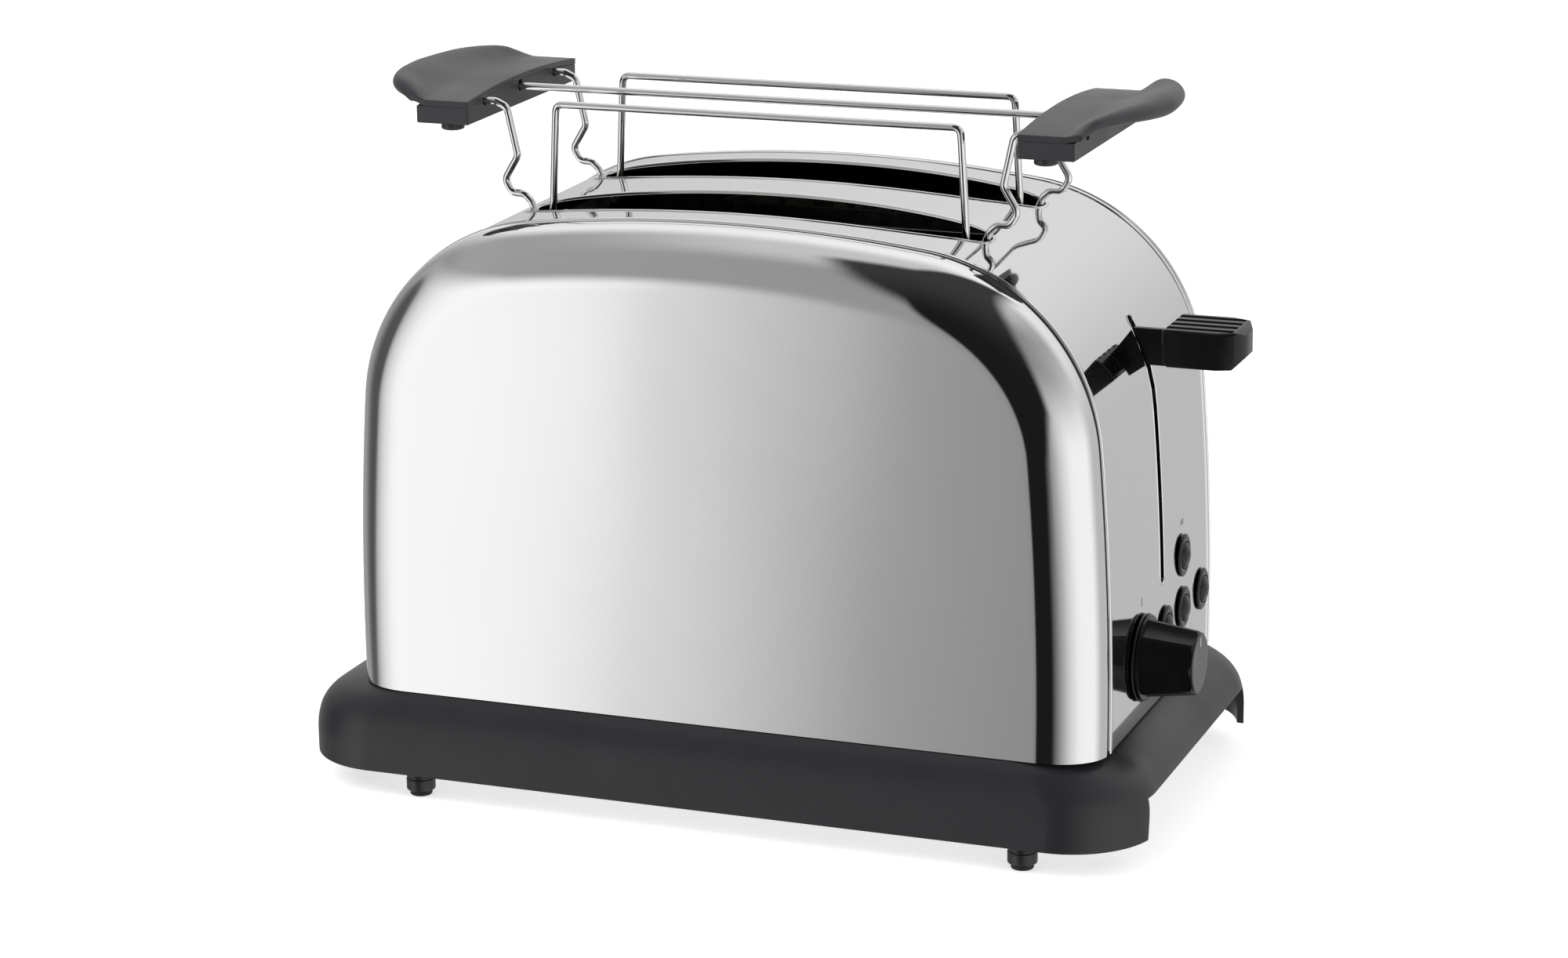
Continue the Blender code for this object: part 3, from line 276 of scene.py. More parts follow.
# ---- bench ------------------------------------------------------------------
class Bench:
    """Hand tools that shape one piece at a time."""

    @staticmethod
    def take(piece: Object) -> Object:
        """Select this piece alone and make it the active one.

        Args:
            piece: the piece to work on.

        Returns:
            The same piece.
        """
        Bench.clear()
        piece.select_set(True)
        bpy.context.view_layer.objects.active = piece
        return piece

    @staticmethod
    def clear() -> None:
        """Go back to object mode and leave nothing selected."""
        if bpy.context.object is not None and bpy.context.object.mode != "OBJECT":
            bpy.ops.object.mode_set(mode="OBJECT")
        bpy.ops.object.select_all(action="DESELECT")

    @staticmethod
    def named(name: str) -> Object:
        """Name the primitive that was just added and settle its place in its mesh.

        Args:
            name: the piece's name.

        Returns:
            The piece, at the origin, unturned and unscaled.
        """
        piece = bpy.context.object
        piece.name = name
        piece.data.name = name
        bpy.ops.object.transform_apply(location=True, rotation=True, scale=True)
        return piece

    @staticmethod
    def pick(piece: Object, kind: str, test: Callable[..., bool]) -> None:
        """Select what passes a test, and nothing else, on a piece in edit mode.

        Args:
            piece: the piece.
            kind: 'EDGE' or 'FACE'.
            test: says whether an edge or a face is wanted.
        """
        bpy.ops.mesh.select_mode(type=kind)
        form = bmesh.from_edit_mesh(piece.data)
        for item in (form.edges if kind == "EDGE" else form.faces):
            item.select_set(test(item))
        bmesh.update_edit_mesh(piece.data)

    @classmethod
    def box(cls, name: str, low: Vector, high: Vector) -> Object:
        """Box between two opposite corners.

        Args:
            name: the piece's name.
            low: lowest corner.
            high: highest corner.

        Returns:
            The box.
        """
        cls.clear()
        low, high = Vector(low), Vector(high)
        bpy.ops.mesh.primitive_cube_add(size=1.0, location=(low + high) / 2, scale=high - low)
        return cls.named(name)

    @classmethod
    def rod(cls, name: str, start: Vector, end: Vector, radius: float, sides: int = 48) -> Object:
        """Round bar.

        Args:
            name: the piece's name.
            start: middle of one end.
            end: middle of the other.
            radius: the bar's radius.
            sides: faces round it.

        Returns:
            The bar.
        """
        cls.clear()
        start, end = Vector(start), Vector(end)
        run = end - start
        turn = Vector((0, 0, 1)).rotation_difference(run).to_euler()
        bpy.ops.mesh.primitive_cylinder_add(vertices=sides, radius=radius, depth=run.length,
                                            location=(start + end) / 2, rotation=turn)
        return cls.named(name)

    @classmethod
    def trace(cls, name: str, points: list[Point]) -> Object:
        """Polyline of joined edges, drawn point by point from the first one.

        Args:
            name: name of the new piece.
            points: where the line goes.

        Returns:
            The piece, left in edit mode with the whole line selected.
        """
        cls.clear()
        bpy.ops.mesh.primitive_plane_add(size=0.001, location=points[0])
        piece = cls.named(name)
        bpy.ops.object.mode_set(mode="EDIT")
        bpy.ops.mesh.select_mode(type="VERT")
        bpy.ops.mesh.select_all(action="SELECT")
        bpy.ops.mesh.merge(type="CENTER")
        for here, there in zip(points, points[1:]):
            step = Vector(there) - Vector(here)
            bpy.ops.mesh.extrude_vertices_move(TRANSFORM_OT_translate={"value": step})
        bpy.ops.mesh.select_all(action="SELECT")
        return piece

    @classmethod
    def lathe(cls, name: str, profile: list[Pair], axis: str, centre: Pair, steps: int = 64,
              hollow: bool = False) -> Object:
        """Turned piece: (along, radius) points spun round an axis.

        Args:
            name: name of the new piece.
            profile: points of the section, in order.
            axis: 'x', 'y' or 'z'.
            centre: the axis's place in the other two directions.
            steps: faces round the circle.
            hollow: whether the section is closed on itself round a hole.

        Returns:
            The turned piece with its normals outward.
        """
        u, v = centre
        spots = {"x": lambda t, r: (t, u + r, v),
                 "y": lambda t, r: (u + r, t, v),
                 "z": lambda t, r: (u + r, v, t)}
        place = spots[axis]
        points = [place(t, r) for t, r in profile]
        if hollow:
            points.append(points[0])
        else:
            points = [place(profile[0][0], 0.0), *points, place(profile[-1][0], 0.0)]
        piece = cls.trace(name, points)
        turn = Vector(place(1.0, 0.0)) - Vector(place(0.0, 0.0))
        bpy.ops.mesh.spin(steps=steps, angle=2 * math.pi, center=place(0.0, 0.0), axis=turn)
        bpy.ops.mesh.select_all(action="SELECT")
        bpy.ops.mesh.remove_doubles(threshold=SAME_SPOT)
        bpy.ops.mesh.normals_make_consistent(inside=False)
        bpy.ops.object.mode_set(mode="OBJECT")
        return piece

    @classmethod
    def outline(cls, name: str, ring: list[Point], run: Vector) -> Object:
        """Solid made by pulling a flat outline.

        Args:
            name: the piece's name.
            ring: the outline's points.
            run: how far and which way it is pulled.

        Returns:
            The solid.
        """
        cls.clear()
        bpy.ops.mesh.primitive_circle_add(vertices=len(ring), fill_type="NGON")
        piece = cls.named(name)
        for vert, spot in zip(piece.data.vertices, ring):
            vert.co = spot
        bpy.ops.object.mode_set(mode="EDIT")
        bpy.ops.mesh.select_all(action="SELECT")
        bpy.ops.mesh.extrude_region_move(TRANSFORM_OT_translate={"value": run})
        bpy.ops.mesh.select_all(action="SELECT")
        bpy.ops.mesh.normals_make_consistent(inside=False)
        bpy.ops.object.mode_set(mode="OBJECT")
        return piece

    @classmethod
    def skin(cls, name: str, rings: list[list[Point]], loop: bool = True) -> Object:
        """Closed surface over rings that follow two curves at once, which no single tool draws.

        Args:
            name: name of the new piece.
            rings: equally long closed rows of points.
            loop: whether the last row joins the first; if not, both ends are capped.

        Returns:
            The skinned piece.
        """
        mesh = bpy.data.meshes.new(name)
        form = bmesh.new()
        rows = [[form.verts.new(p) for p in ring] for ring in rings]
        for k in range(len(rows) if loop else len(rows) - 1):
            here, there = rows[k], rows[(k + 1) % len(rows)]
            for i in range(len(here)):
                j = (i + 1) % len(here)
                form.faces.new((here[i], here[j], there[j], there[i]))
        if not loop:
            form.faces.new(rows[0])
            form.faces.new(rows[-1][::-1])
        form.to_mesh(mesh)
        form.free()
        piece = bpy.data.objects.new(name, mesh)
        bpy.context.scene.collection.objects.link(piece)
        cls.outward(piece)
        return piece

    @classmethod
    def wire(cls, name: str, path: list[Point], radius: float, sides: int = 4) -> Object:
        """Round wire along a path, as a closed mesh.

        Args:
            name: the piece's name.
            path: the points it follows.
            radius: the wire's radius.
            sides: how finely it is rounded.

        Returns:
            The wire.
        """
        curve = bpy.data.curves.new(name, "CURVE")
        curve.dimensions = "3D"
        curve.bevel_depth = radius
        curve.bevel_resolution = sides
        curve.use_fill_caps = True
        line = curve.splines.new("POLY")
        line.points.add(len(path) - 1)
        for spot, point in zip(path, line.points):
            point.co = (*spot, 1.0)
        piece = bpy.data.objects.new(name, curve)
        bpy.context.scene.collection.objects.link(piece)
        cls.take(piece)
        bpy.ops.object.convert(target="MESH")
        piece = bpy.context.object
        cls.outward(piece)
        return piece

    @classmethod
    def copy_of(cls, node: Object, name: str) -> Object:
        """Merged copy of a frame node, with its flat faces whole again.

        Args:
            node: the frame's node.
            name: the copy's name.

        Returns:
            The copy, without materials.
        """
        piece = bpy.data.objects.new(name, node.data.copy())
        piece.data.materials.clear()
        bpy.context.scene.collection.objects.link(piece)
        cls.take(piece)
        bpy.ops.mesh.customdata_custom_splitnormals_clear()
        bpy.ops.object.mode_set(mode="EDIT")
        bpy.ops.mesh.select_all(action="SELECT")
        bpy.ops.mesh.remove_doubles(threshold=2e-6)
        bpy.ops.mesh.dissolve_limited(angle_limit=math.radians(0.4))
        bpy.ops.object.mode_set(mode="OBJECT")
        return piece

    @classmethod
    def dress(cls, nodes: Nodes, node: str, name: str, body: Body, finish: Finish, edge: float,
              segments: int) -> None:
        """Copy a frame node whose shape is right, ease its edges and dress it.

        Args:
            nodes: the frame's nodes.
            node: the node's name.
            name: the new piece's name.
            body: the frame body it rides on.
            finish: what it wears.
            edge: width of the eased edges.
            segments: faces across an eased edge.
        """
        piece = cls.copy_of(nodes[node], name)
        cls.ease(piece, edge, segments)
        cls.hand_over(piece, body, finish, node)

    @classmethod
    def join(cls, pieces: list[Object], name: str) -> Object:
        """Make one piece of several loose ones.

        Args:
            pieces: what is joined.
            name: the name of the whole.

        Returns:
            The whole.
        """
        cls.take(pieces[0])
        for piece in pieces:
            piece.select_set(True)
        bpy.ops.object.join()
        pieces[0].name = name
        return pieces[0]

    @classmethod
    def outward(cls, piece: Object) -> None:
        """Merge doubles and turn every face outwards.

        Args:
            piece: a closed piece.
        """
        cls.take(piece)
        bpy.ops.object.mode_set(mode="EDIT")
        bpy.ops.mesh.select_all(action="SELECT")
        bpy.ops.mesh.remove_doubles(threshold=SAME_SPOT)
        bpy.ops.mesh.normals_make_consistent(inside=False)
        bpy.ops.object.mode_set(mode="OBJECT")

    @classmethod
    def work(cls, piece: Object, kind: str, **settings: object) -> Object:
        """Add a modifier and apply it.

        Args:
            piece: the piece it works on.
            kind: the modifier's type.
            settings: its settings by name.

        Returns:
            The piece.
        """
        cls.take(piece)
        mod = piece.modifiers.new(kind.title(), kind)
        for key, value in settings.items():
            setattr(mod, key, value)
        bpy.ops.object.modifier_apply(modifier=mod.name)
        return piece

    @classmethod
    def cut(cls, piece: Object, *cutters: Object) -> Object:
        """Cut other solids out of a piece and throw them away.

        Args:
            piece: the piece that is cut.
            cutters: the solids.

        Returns:
            The piece.
        """
        for cutter in cutters:
            cls.work(piece, "BOOLEAN", operation="DIFFERENCE", solver="EXACT", object=cutter)
            bpy.data.objects.remove(cutter)
        return piece

    @classmethod
    def ease(cls, piece: Object, width: float, segments: int = 2, angle: float = 35.0) -> Object:
        """Round the sharp edges of a piece.

        Args:
            piece: the piece.
            width: width of the rounding.
            segments: faces across it.
            angle: edges sharper than this are rounded, in degrees.

        Returns:
            The piece.
        """
        return cls.work(piece, "BEVEL", width=width, segments=segments, limit_method="ANGLE",
                        angle_limit=math.radians(angle), use_clamp_overlap=True, miter_outer="MITER_ARC")

    @classmethod
    def hand_over(cls, piece: Object, body: Body | str, finish: Finish, *nodes: str, angle: float = 32.0,
                  flat: bool = True) -> Object:
        """Smooth a finished piece, dress it and set it on its body.

        Args:
            piece: the finished piece.
            body: the frame body it rides on.
            finish: what it wears.
            nodes: the frame nodes it stands for.
            angle: edges sharper than this stay crisp, in degrees.
            flat: whether its big flat faces keep an even shade next to rounded edges.

        Returns:
            The piece.
        """
        cls.take(piece)
        bpy.ops.object.shade_smooth_by_angle(angle=math.radians(angle), keep_sharp_edges=False)
        if flat:
            cls.work(piece, "WEIGHTED_NORMAL", mode="FACE_AREA", keep_sharp=True)
        piece.data.materials.clear()
        piece.data.materials.append(finish.material())
        name = body.value if isinstance(body, Body) else body
        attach(piece, name)
        if nodes:
            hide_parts(*nodes)
        LOG.info("%-24s %6d faces on %s", piece.name, len(piece.data.polygons), name)
        return piece


def smooth_line(points: list[Pair], steps: int) -> list[Pair]:
    """Catmull-Rom line through points.

    Args:
        points: two-number points in order.
        steps: pieces between neighbouring points.

    Returns:
        The finer line.
    """
    line: list[Pair] = []
    ends = [points[0], *points, points[-1]]
    for a, b, c, d in zip(ends, ends[1:], ends[2:], ends[3:]):
        for k in range(steps):
            t = k / steps
            line.append(tuple(0.5 * (2 * q + (r - p) * t + (2 * p - 5 * q + 4 * r - s) * t * t
                                     + (3 * q - p - 3 * r + s) * t ** 3) for p, q, r, s in zip(a, b, c, d)))
    line.append(points[-1])
    return line


def round_corners(path: list[Point], radius: float, steps: int = 8) -> list[Point]:
    """Polyline with each inner corner replaced by a smooth bend.

    Args:
        path: corner points.
        radius: bend radius, less where the straight runs are short.
        steps: points per bend.

    Returns:
        The finer path.
    """
    spots = [Vector(p) for p in path]
    out = [spots[0]]
    for before, here, after in zip(spots, spots[1:], spots[2:]):
        u, v = (before - here).normalized(), (after - here).normalized()
        reach = min(radius / max(math.tan(u.angle(v) / 2), 1e-6), 0.49 * (before - here).length,
                    0.49 * (after - here).length)
        p, q = here + u * reach, here + v * reach
        for k in range(steps + 1):
            t = k / steps
            out.append(p * (1 - t) ** 2 + here * (2 * t * (1 - t)) + q * t ** 2)
    out.append(spots[-1])
    return [tuple(p) for p in out]


def superoval(half_length: float, half_width: float, power: float = 2.5, count: int = 120) -> list[Pair]:
    """Closed outline between an ellipse and a rectangle.

    Args:
        half_length: half its size along the first direction.
        half_width: half its size along the second.
        power: 2 for an ellipse, more for squarer ends.
        count: how many points.

    Returns:
        The points in order.
    """
    ring = []
    for k in range(count):
        t = 2 * math.pi * k / count
        c, s = math.cos(t), math.sin(t)
        ring.append((math.copysign(abs(c) ** (2 / power), c) * half_length,
                     math.copysign(abs(s) ** (2 / power), s) * half_width))
    return ring


# ---- steel body -------------------------------------------------------------
@dataclass
class Arch:
    """Outline shared by the three steel shells: side, shoulder and crown arcs."""

    x: float
    half_width: float = 125.3 * MM
    height: float = 192.7 * MM
    crown: float = 508.0 * MM
    shoulder: float = 63.7 * MM
    side: float = 980.0 * MM
    lean: float = math.radians(4.8)
    foot: float = 34.8 * MM

    def __post_init__(self) -> None:
        """Work out the three centres."""
        self.side_x = self.half_width - self.side
        self.shoulder_x = self.side_x + (self.side - self.shoulder) * math.cos(self.lean)
        self.crown_turn = math.asin(self.shoulder_x / (self.crown - self.shoulder))
        self.crown_z = self.height - self.crown
        self.shoulder_z = self.crown_z + (self.crown - self.shoulder) * math.cos(self.crown_turn)
        self.side_z = self.shoulder_z - (self.side - self.shoulder) * math.sin(self.lean)

    def top(self, x: float) -> float:
        """Height of the arch.

        Args:
            x: place along X.

        Returns:
            Height of the crown or the shoulder there.
        """
        x = abs(x - self.x)
        if x < self.crown * math.sin(self.crown_turn):
            return self.crown_z + math.sqrt(self.crown ** 2 - x ** 2)
        return self.shoulder_z + math.sqrt(max(0.0, self.shoulder ** 2 - (x - self.shoulder_x) ** 2))

    def wall(self, z: float) -> float:
        """Outer face of the lever end's wall.

        Args:
            z: height.

        Returns:
            The face's place along X.
        """
        if z < self.shoulder_z + self.shoulder * math.sin(self.lean):
            return self.x + self.side_x + math.sqrt(self.side ** 2 - (z - self.side_z) ** 2)
        return self.x + self.shoulder_x + math.sqrt(self.shoulder ** 2 - (z - self.shoulder_z) ** 2)

    def sweep(self, name: str, section: list[Pair]) -> Object:
        """Carry a section over the arch.

        Args:
            name: name of the new shell.
            section: (inset, y) points, inset measured inwards from the arch.

        Returns:
            The open sheet, trimmed level at the foot and left in edit mode.
        """
        below = 3.0 * MM
        start = math.asin((self.foot - below - self.side_z) / self.side)
        points = []
        for inset, y in section:
            reach = self.side - inset
            points.append((self.x + self.side_x + reach * math.cos(start), y,
                           self.side_z + reach * math.sin(start)))
        shell = Bench.trace(name, points)
        up = math.pi / 2 - self.crown_turn
        arcs = ((self.side_x, self.side_z, self.lean - start, 16),
                (self.shoulder_x, self.shoulder_z, up - self.lean, 44),
                (0.0, self.crown_z, 2 * self.crown_turn, 40),
                (-self.shoulder_x, self.shoulder_z, up - self.lean, 44),
                (-self.side_x, self.side_z, self.lean - start, 16))
        for x, z, turn, steps in arcs:
            bpy.ops.mesh.spin(steps=steps, angle=turn, center=(self.x + x, 0.0, z), axis=(0.0, 1.0, 0.0))
        bpy.ops.mesh.select_all(action="SELECT")
        bpy.ops.mesh.remove_doubles(threshold=SAME_SPOT)
        bpy.ops.mesh.bisect(plane_co=(0.0, 0.0, self.foot), plane_no=(0.0, 0.0, 1.0), clear_inner=True)
        return shell


@dataclass
class SteelBody:
    """Band and two drawn pans, with rolled slot rims and the lever slit."""

    arch: Arch
    y: float
    sheet: float = 0.8 * MM
    band_depth: float = 57.1 * MM
    panel_depth: float = 72.7 * MM
    round_depth: float = 14.0 * MM
    round_inset: float = 19.0 * MM
    gap: float = 2.3 * MM
    slot_length: float = 78.5 * MM
    slot_width: float = 17.3 * MM
    slot_y: float = 27.4 * MM
    slit: tuple[float, float, float] = (72.0 * MM, 158.8 * MM, 2.5 * MM)
    lever_y: float = 1.6 * MM
    holes: list[tuple[float, float, float]] = field(default_factory=list)

    def build(self) -> None:
        """Make the shells, the rims, the slit edge and the painted-shade strips in the seams."""
        self.band()
        self.pan("front_pan", -1, "front_panel")
        self.pan("rear_pan", 1, "rear_panel")
        for side, name in ((-1, "front"), (1, "rear")):
            self.rim(f"slot_rim_{name}", self.y + side * self.slot_y)
            # dark strip sunk in each seam groove that paints the groove's shade
            self.paint_seam_shade(f"seam_painted_shade_{name}", side)
        self.slit_edge()

    def paint_seam_shade(self, name: str, side: int) -> None:
        """Painted shade: a dark strip laid at the bottom of the groove between the band and a pan, where shade falls.

        Args:
            name: the piece's name.
            side: -1 for the front, 1 for the rear.
        """
        sunk, overlap = 0.5 * MM, 0.5 * MM
        edges = (self.band_depth - overlap, self.band_depth + self.gap + overlap)
        shell = self.arch.sweep(name, [(sunk, self.y + side * y) for y in edges])
        self.finish_sheet(shell, Vector((0, 0, 1)))
        # the strip wears the dark rubber finish as painted shade in the groove
        Bench.hand_over(shell, Body.HOUSING, SOFT_TIP, angle=28, flat=False)

    def slit_edge(self) -> None:
        """Thin rolled edge round the lever slit: two round ends joined by two straight runs."""
        low, high, half_slit = self.slit
        run, sunk, edge = high - low - 2 * half_slit, 0.15 * MM, 0.4 * MM
        top, bottom = high - half_slit, low + half_slit
        loop = [(half_slit * math.cos(math.pi * k / 12), top + half_slit * math.sin(math.pi * k / 12))
                for k in range(13)]
        loop += [(-half_slit, top - run * k / 12) for k in range(1, 12)]
        loop += [(-half_slit * math.cos(math.pi * k / 12), bottom - half_slit * math.sin(math.pi * k / 12))
                 for k in range(13)]
        loop += [(half_slit, bottom + run * k / 12) for k in range(1, 13)]
        path = [(self.arch.wall(z) - sunk, self.lever_y + y, z) for y, z in loop]
        piece = Bench.wire("slit_edge", path, edge, 2)
        Bench.hand_over(piece, Body.HOUSING, MIRROR_STEEL, angle=60, flat=False)

    def finish_sheet(self, shell: Object, outward: Vector) -> Object:
        """Turn a sheet's faces the right way and give it its thickness.

        Args:
            shell: open sheet, in edit mode.
            outward: a direction that its outside faces.

        Returns:
            The shell.
        """
        bpy.ops.mesh.select_all(action="SELECT")
        bpy.ops.mesh.normals_make_consistent(inside=False)
        bpy.ops.object.mode_set(mode="OBJECT")
        face = max(shell.data.polygons, key=lambda f: f.center.dot(outward))
        if face.normal.dot(outward) < 0:
            Bench.take(shell)
            bpy.ops.object.mode_set(mode="EDIT")
            bpy.ops.mesh.select_all(action="SELECT")
            bpy.ops.mesh.flip_normals()
            bpy.ops.object.mode_set(mode="OBJECT")
        return Bench.work(shell, "SOLIDIFY", thickness=self.sheet, offset=-1.0, use_even_offset=True)

    def band(self) -> None:
        """Centre band with a bead along each seam, open for the slots, the lever, the knob and the buttons."""
        half, bead = self.band_depth, []
        bead.append((1.6 * MM, -half))
        for k in range(11):
            t = math.pi * k / 10
            bead.append((-0.5 * MM * math.sin(t), -half + 0.95 * MM * (1 - math.cos(t))))
        flat = [(0.0, -half + 1.9 * MM + (2 * half - 3.8 * MM) * k / 14) for k in range(1, 14)]
        section = bead + flat + [(d, -y) for d, y in bead[::-1]]
        shell = self.arch.sweep("band_shell", [(d, self.y + y) for d, y in section])
        self.finish_sheet(shell, Vector((0, 0, 1)))
        cutters = []
        under_crown, over_rim = 165.0 * MM, 1.0 * MM
        for side in (-1, 1):
            ring = [(self.arch.x + x, self.y + side * self.slot_y + y, under_crown)
                    for x, y in superoval(self.slot_length - over_rim, self.slot_width - over_rim)]
            cutters.append(Bench.outline("slot_cutter", ring, Vector((0, 0, 50.0 * MM))))
        low, high, half_slit = self.slit
        ring = []
        for cz, start in ((high - half_slit, 0.0), (low + half_slit, math.pi)):
            for k in range(13):
                a = start + math.pi * k / 12
                ring.append((self.arch.x + 95.0 * MM, self.lever_y + half_slit * math.cos(a),
                             cz + half_slit * math.sin(a)))
        cutters.append(Bench.outline("slit_cutter", ring, Vector((45.0 * MM, 0, 0))))
        for y, z, radius in self.holes:
            cutters.append(Bench.rod("hole_cutter", Vector((self.arch.x + 110.0 * MM, y, z)),
                                     Vector((self.arch.x + 140.0 * MM, y, z)), radius, 32))
        Bench.cut(shell, *cutters)
        Bench.hand_over(shell, Body.HOUSING, MIRROR_STEEL, "centre_band", angle=28, flat=False)

    def pan(self, name: str, side: int, node: str) -> None:
        """Drawn pan: straight skirt, big soft edge and a flat face.

        Args:
            name: the piece's name.
            side: -1 for the front, 1 for the rear.
            node: the frame node it stands for.
        """
        start = self.panel_depth - self.round_depth
        seam = self.band_depth + self.gap
        section = [(1.6 * MM, seam + 0.15 * MM), (0.7 * MM, seam), (0.3 * MM, seam + 0.1 * MM)]
        first = math.asin((seam + 0.35 * MM - start) / self.round_depth)
        for k in range(33):
            a = first + (math.pi / 2 - first) * k / 32
            section.append((self.round_inset * (1 - math.cos(a)), start + self.round_depth * math.sin(a)))
        section.append((self.round_inset + 1.5 * MM, self.panel_depth))
        shell = self.arch.sweep(name, [(d, self.y + side * y) for d, y in section])
        inner = self.y + side * self.panel_depth
        Bench.pick(shell, "EDGE", lambda edge: edge.is_boundary
                   and all(abs(v.co.y - inner) < SAME_SPOT for v in edge.verts)
                   and not all(abs(v.co.z - self.arch.foot) < SAME_SPOT for v in edge.verts))
        bpy.ops.mesh.edge_face_add()
        self.finish_sheet(shell, Vector((0, side, 0)))
        Bench.hand_over(shell, Body.HOUSING, MIRROR_STEEL, node, angle=30, flat=False)

    def rim(self, name: str, y: float) -> None:
        """Rolled rim that follows the slot's oval and the crown together.

        Args:
            name: the piece's name.
            y: the slot's middle.
        """
        section = [(0.0, -0.35), (0.10, 0.08), (0.30, 0.32), (0.6, 0.42), (0.9, 0.32), (1.1, 0.08), (1.22, -0.3),
                   (1.25, -0.9), (0.75, -0.9), (0.6, -0.55)]
        rings = []
        for inset, rise in section:
            rings.append([(self.arch.x + x, y + dy, self.arch.top(self.arch.x + x) + rise * MM)
                          for x, dy in superoval(self.slot_length - inset * MM, self.slot_width - inset * MM)])
        piece = Bench.skin(name, rings)
        Bench.hand_over(piece, Body.HOUSING, MIRROR_STEEL, angle=40, flat=False)


# ---- base -------------------------------------------------------------------
@dataclass
class Base:
    """Moulded base with its feet, tray, plate and cord gland.

    The distance ahead runs from the steel's left foot to the base's middle.
    """

    nodes: Nodes
    half_length: float = 142.3 * MM
    ahead: float = 122.3 * MM
    end_run: float = 16.8 * MM
    front_run: float = 6.35 * MM
    corner: float = 28.0 * MM
    wall: float = 2.2 * MM
    straight: float = 0.30
    notch_half: float = 56.5 * MM
    notch_height: float = 21.6 * MM
    window_half: float = 80.0 * MM
    cord_hole: float = 5.4 * MM

    def build(self) -> None:
        """Make every piece of the base."""
        self.skirt()
        self.feet()
        self.sheet_parts()
        self.gland()

    def skirt(self) -> None:
        """Skirt that rises straight and then folds over towards the steel."""
        low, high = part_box("base")
        middle, half = (low + high) / 2, (high - low) / 2
        half.x = self.half_length
        steel_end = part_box("centre_band")[0].x
        middle.x = steel_end + self.ahead
        rise = high.z - low.z
        piece = Bench.box("base_skirt", (middle.x - half.x, low.y, low.z),
                          (middle.x + half.x, high.y, low.z + self.straight * rise))
        bpy.ops.object.mode_set(mode="EDIT")
        Bench.pick(piece, "EDGE", lambda edge: abs(edge.verts[0].co.z - edge.verts[1].co.z) > 1.0 * MM)
        bpy.ops.mesh.bevel(offset=self.corner, segments=20, affect="EDGES")
        Bench.pick(piece, "FACE", lambda face: face.normal.z > 0.9)
        shoulder = smooth_line([(self.straight, 0.0), (0.44, 0.02), (0.62, 0.10), (0.77, 0.27), (0.89, 0.54),
                                (0.965, 0.82), (1.0, 1.0)], 5)
        for (up0, run0), (up1, run1) in zip(shoulder, shoulder[1:]):
            bpy.ops.mesh.extrude_region_move(TRANSFORM_OT_translate={"value": (0, 0, (up1 - up0) * rise)})
            grow_x = (half.x - self.end_run * run1) / (half.x - self.end_run * run0)
            grow_y = (half.y - self.front_run * run1) / (half.y - self.front_run * run0)
            bpy.ops.transform.resize(value=(grow_x, grow_y, 1.0), center_override=(middle.x, middle.y, 0.0))
        Bench.pick(piece, "FACE", lambda face: face.normal.z < -0.9)
        bpy.ops.mesh.delete(type="FACE")
        bpy.ops.object.mode_set(mode="OBJECT")
        Bench.work(piece, "SOLIDIFY", thickness=self.wall, offset=-1.0, use_even_offset=True)
        reach, splay, spare = 15.0 * MM, 2.0 * MM, 2.0 * MM
        cutters = []
        for side in (-1, 1):
            x = middle.x + side * half.x
            ring = [(x - side * reach, middle.y + y, z) for y, z in (
                (-self.notch_half - splay, 0.0), (self.notch_half + splay, 0.0),
                (self.notch_half, self.notch_height), (-self.notch_half, self.notch_height))]
            cutters.append(Bench.outline("notch_cutter", ring, Vector((side * 2 * reach, 0, 0))))
        tray_low, tray_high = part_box("crumb_tray")
        centre = steel_end + Arch.half_width
        cutters.append(Bench.box("window_cutter",
                                 (centre - self.window_half, tray_low.y - spare, high.z - 12.0 * MM),
                                 (centre + self.window_half, tray_high.y + spare, high.z + 10.0 * MM)))
        gland = (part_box("cord_gland")[0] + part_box("cord_gland")[1]) / 2
        cutters.append(Bench.rod("cord_cutter", Vector((gland.x, high.y - 12.0 * MM, gland.z)),
                                 Vector((gland.x, high.y + 5.0 * MM, gland.z)), self.cord_hole))
        Bench.cut(piece, *cutters)
        Bench.ease(piece, 0.7 * MM, 3, 45)
        Bench.hand_over(piece, Body.HOUSING, CHARCOAL, "base", angle=30)

    def feet(self) -> None:
        """Four round feet, each with a soft tip."""
        for place in ("front_left", "front_right", "rear_left", "rear_right"):
            low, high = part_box(f"foot_{place}")
            centre, r = ((low.x + high.x) / 2, (low.y + high.y) / 2), (high.x - low.x) / 2
            profile = [(low.z, r - 0.8 * MM), (low.z + 0.5 * MM, r - 0.1 * MM), (low.z + 0.9 * MM, r),
                       (low.z + 4.0 * MM, r), (low.z + 4.3 * MM, r - 0.4 * MM), (low.z + 4.8 * MM, r - 0.4 * MM),
                       (low.z + 5.1 * MM, r), (high.z, r)]
            foot = Bench.lathe(f"foot_post_{place}", profile, "z", centre, 48)
            Bench.hand_over(foot, Body.HOUSING, CHARCOAL, f"foot_{place}")
            low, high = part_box(f"tip_{place}")
            r = (high.x - low.x) / 2
            profile = [(low.z, r - 0.7 * MM), (low.z + 0.2 * MM, r - 0.2 * MM), (low.z + 0.5 * MM, r), (high.z, r)]
            tip = Bench.lathe(f"foot_pad_{place}", profile, "z", centre, 40)
            Bench.hand_over(tip, Body.HOUSING, SOFT_TIP, f"tip_{place}")

    def sheet_parts(self) -> None:
        """Crumb tray and bottom plate with eased edges."""
        Bench.dress(self.nodes, "crumb_tray", "crumb_drawer", Body.TRAY, ZINC, 0.3 * MM, 2)
        Bench.dress(self.nodes, "bottom_plate", "under_plate", Body.HOUSING, ZINC, 0.25 * MM, 2)

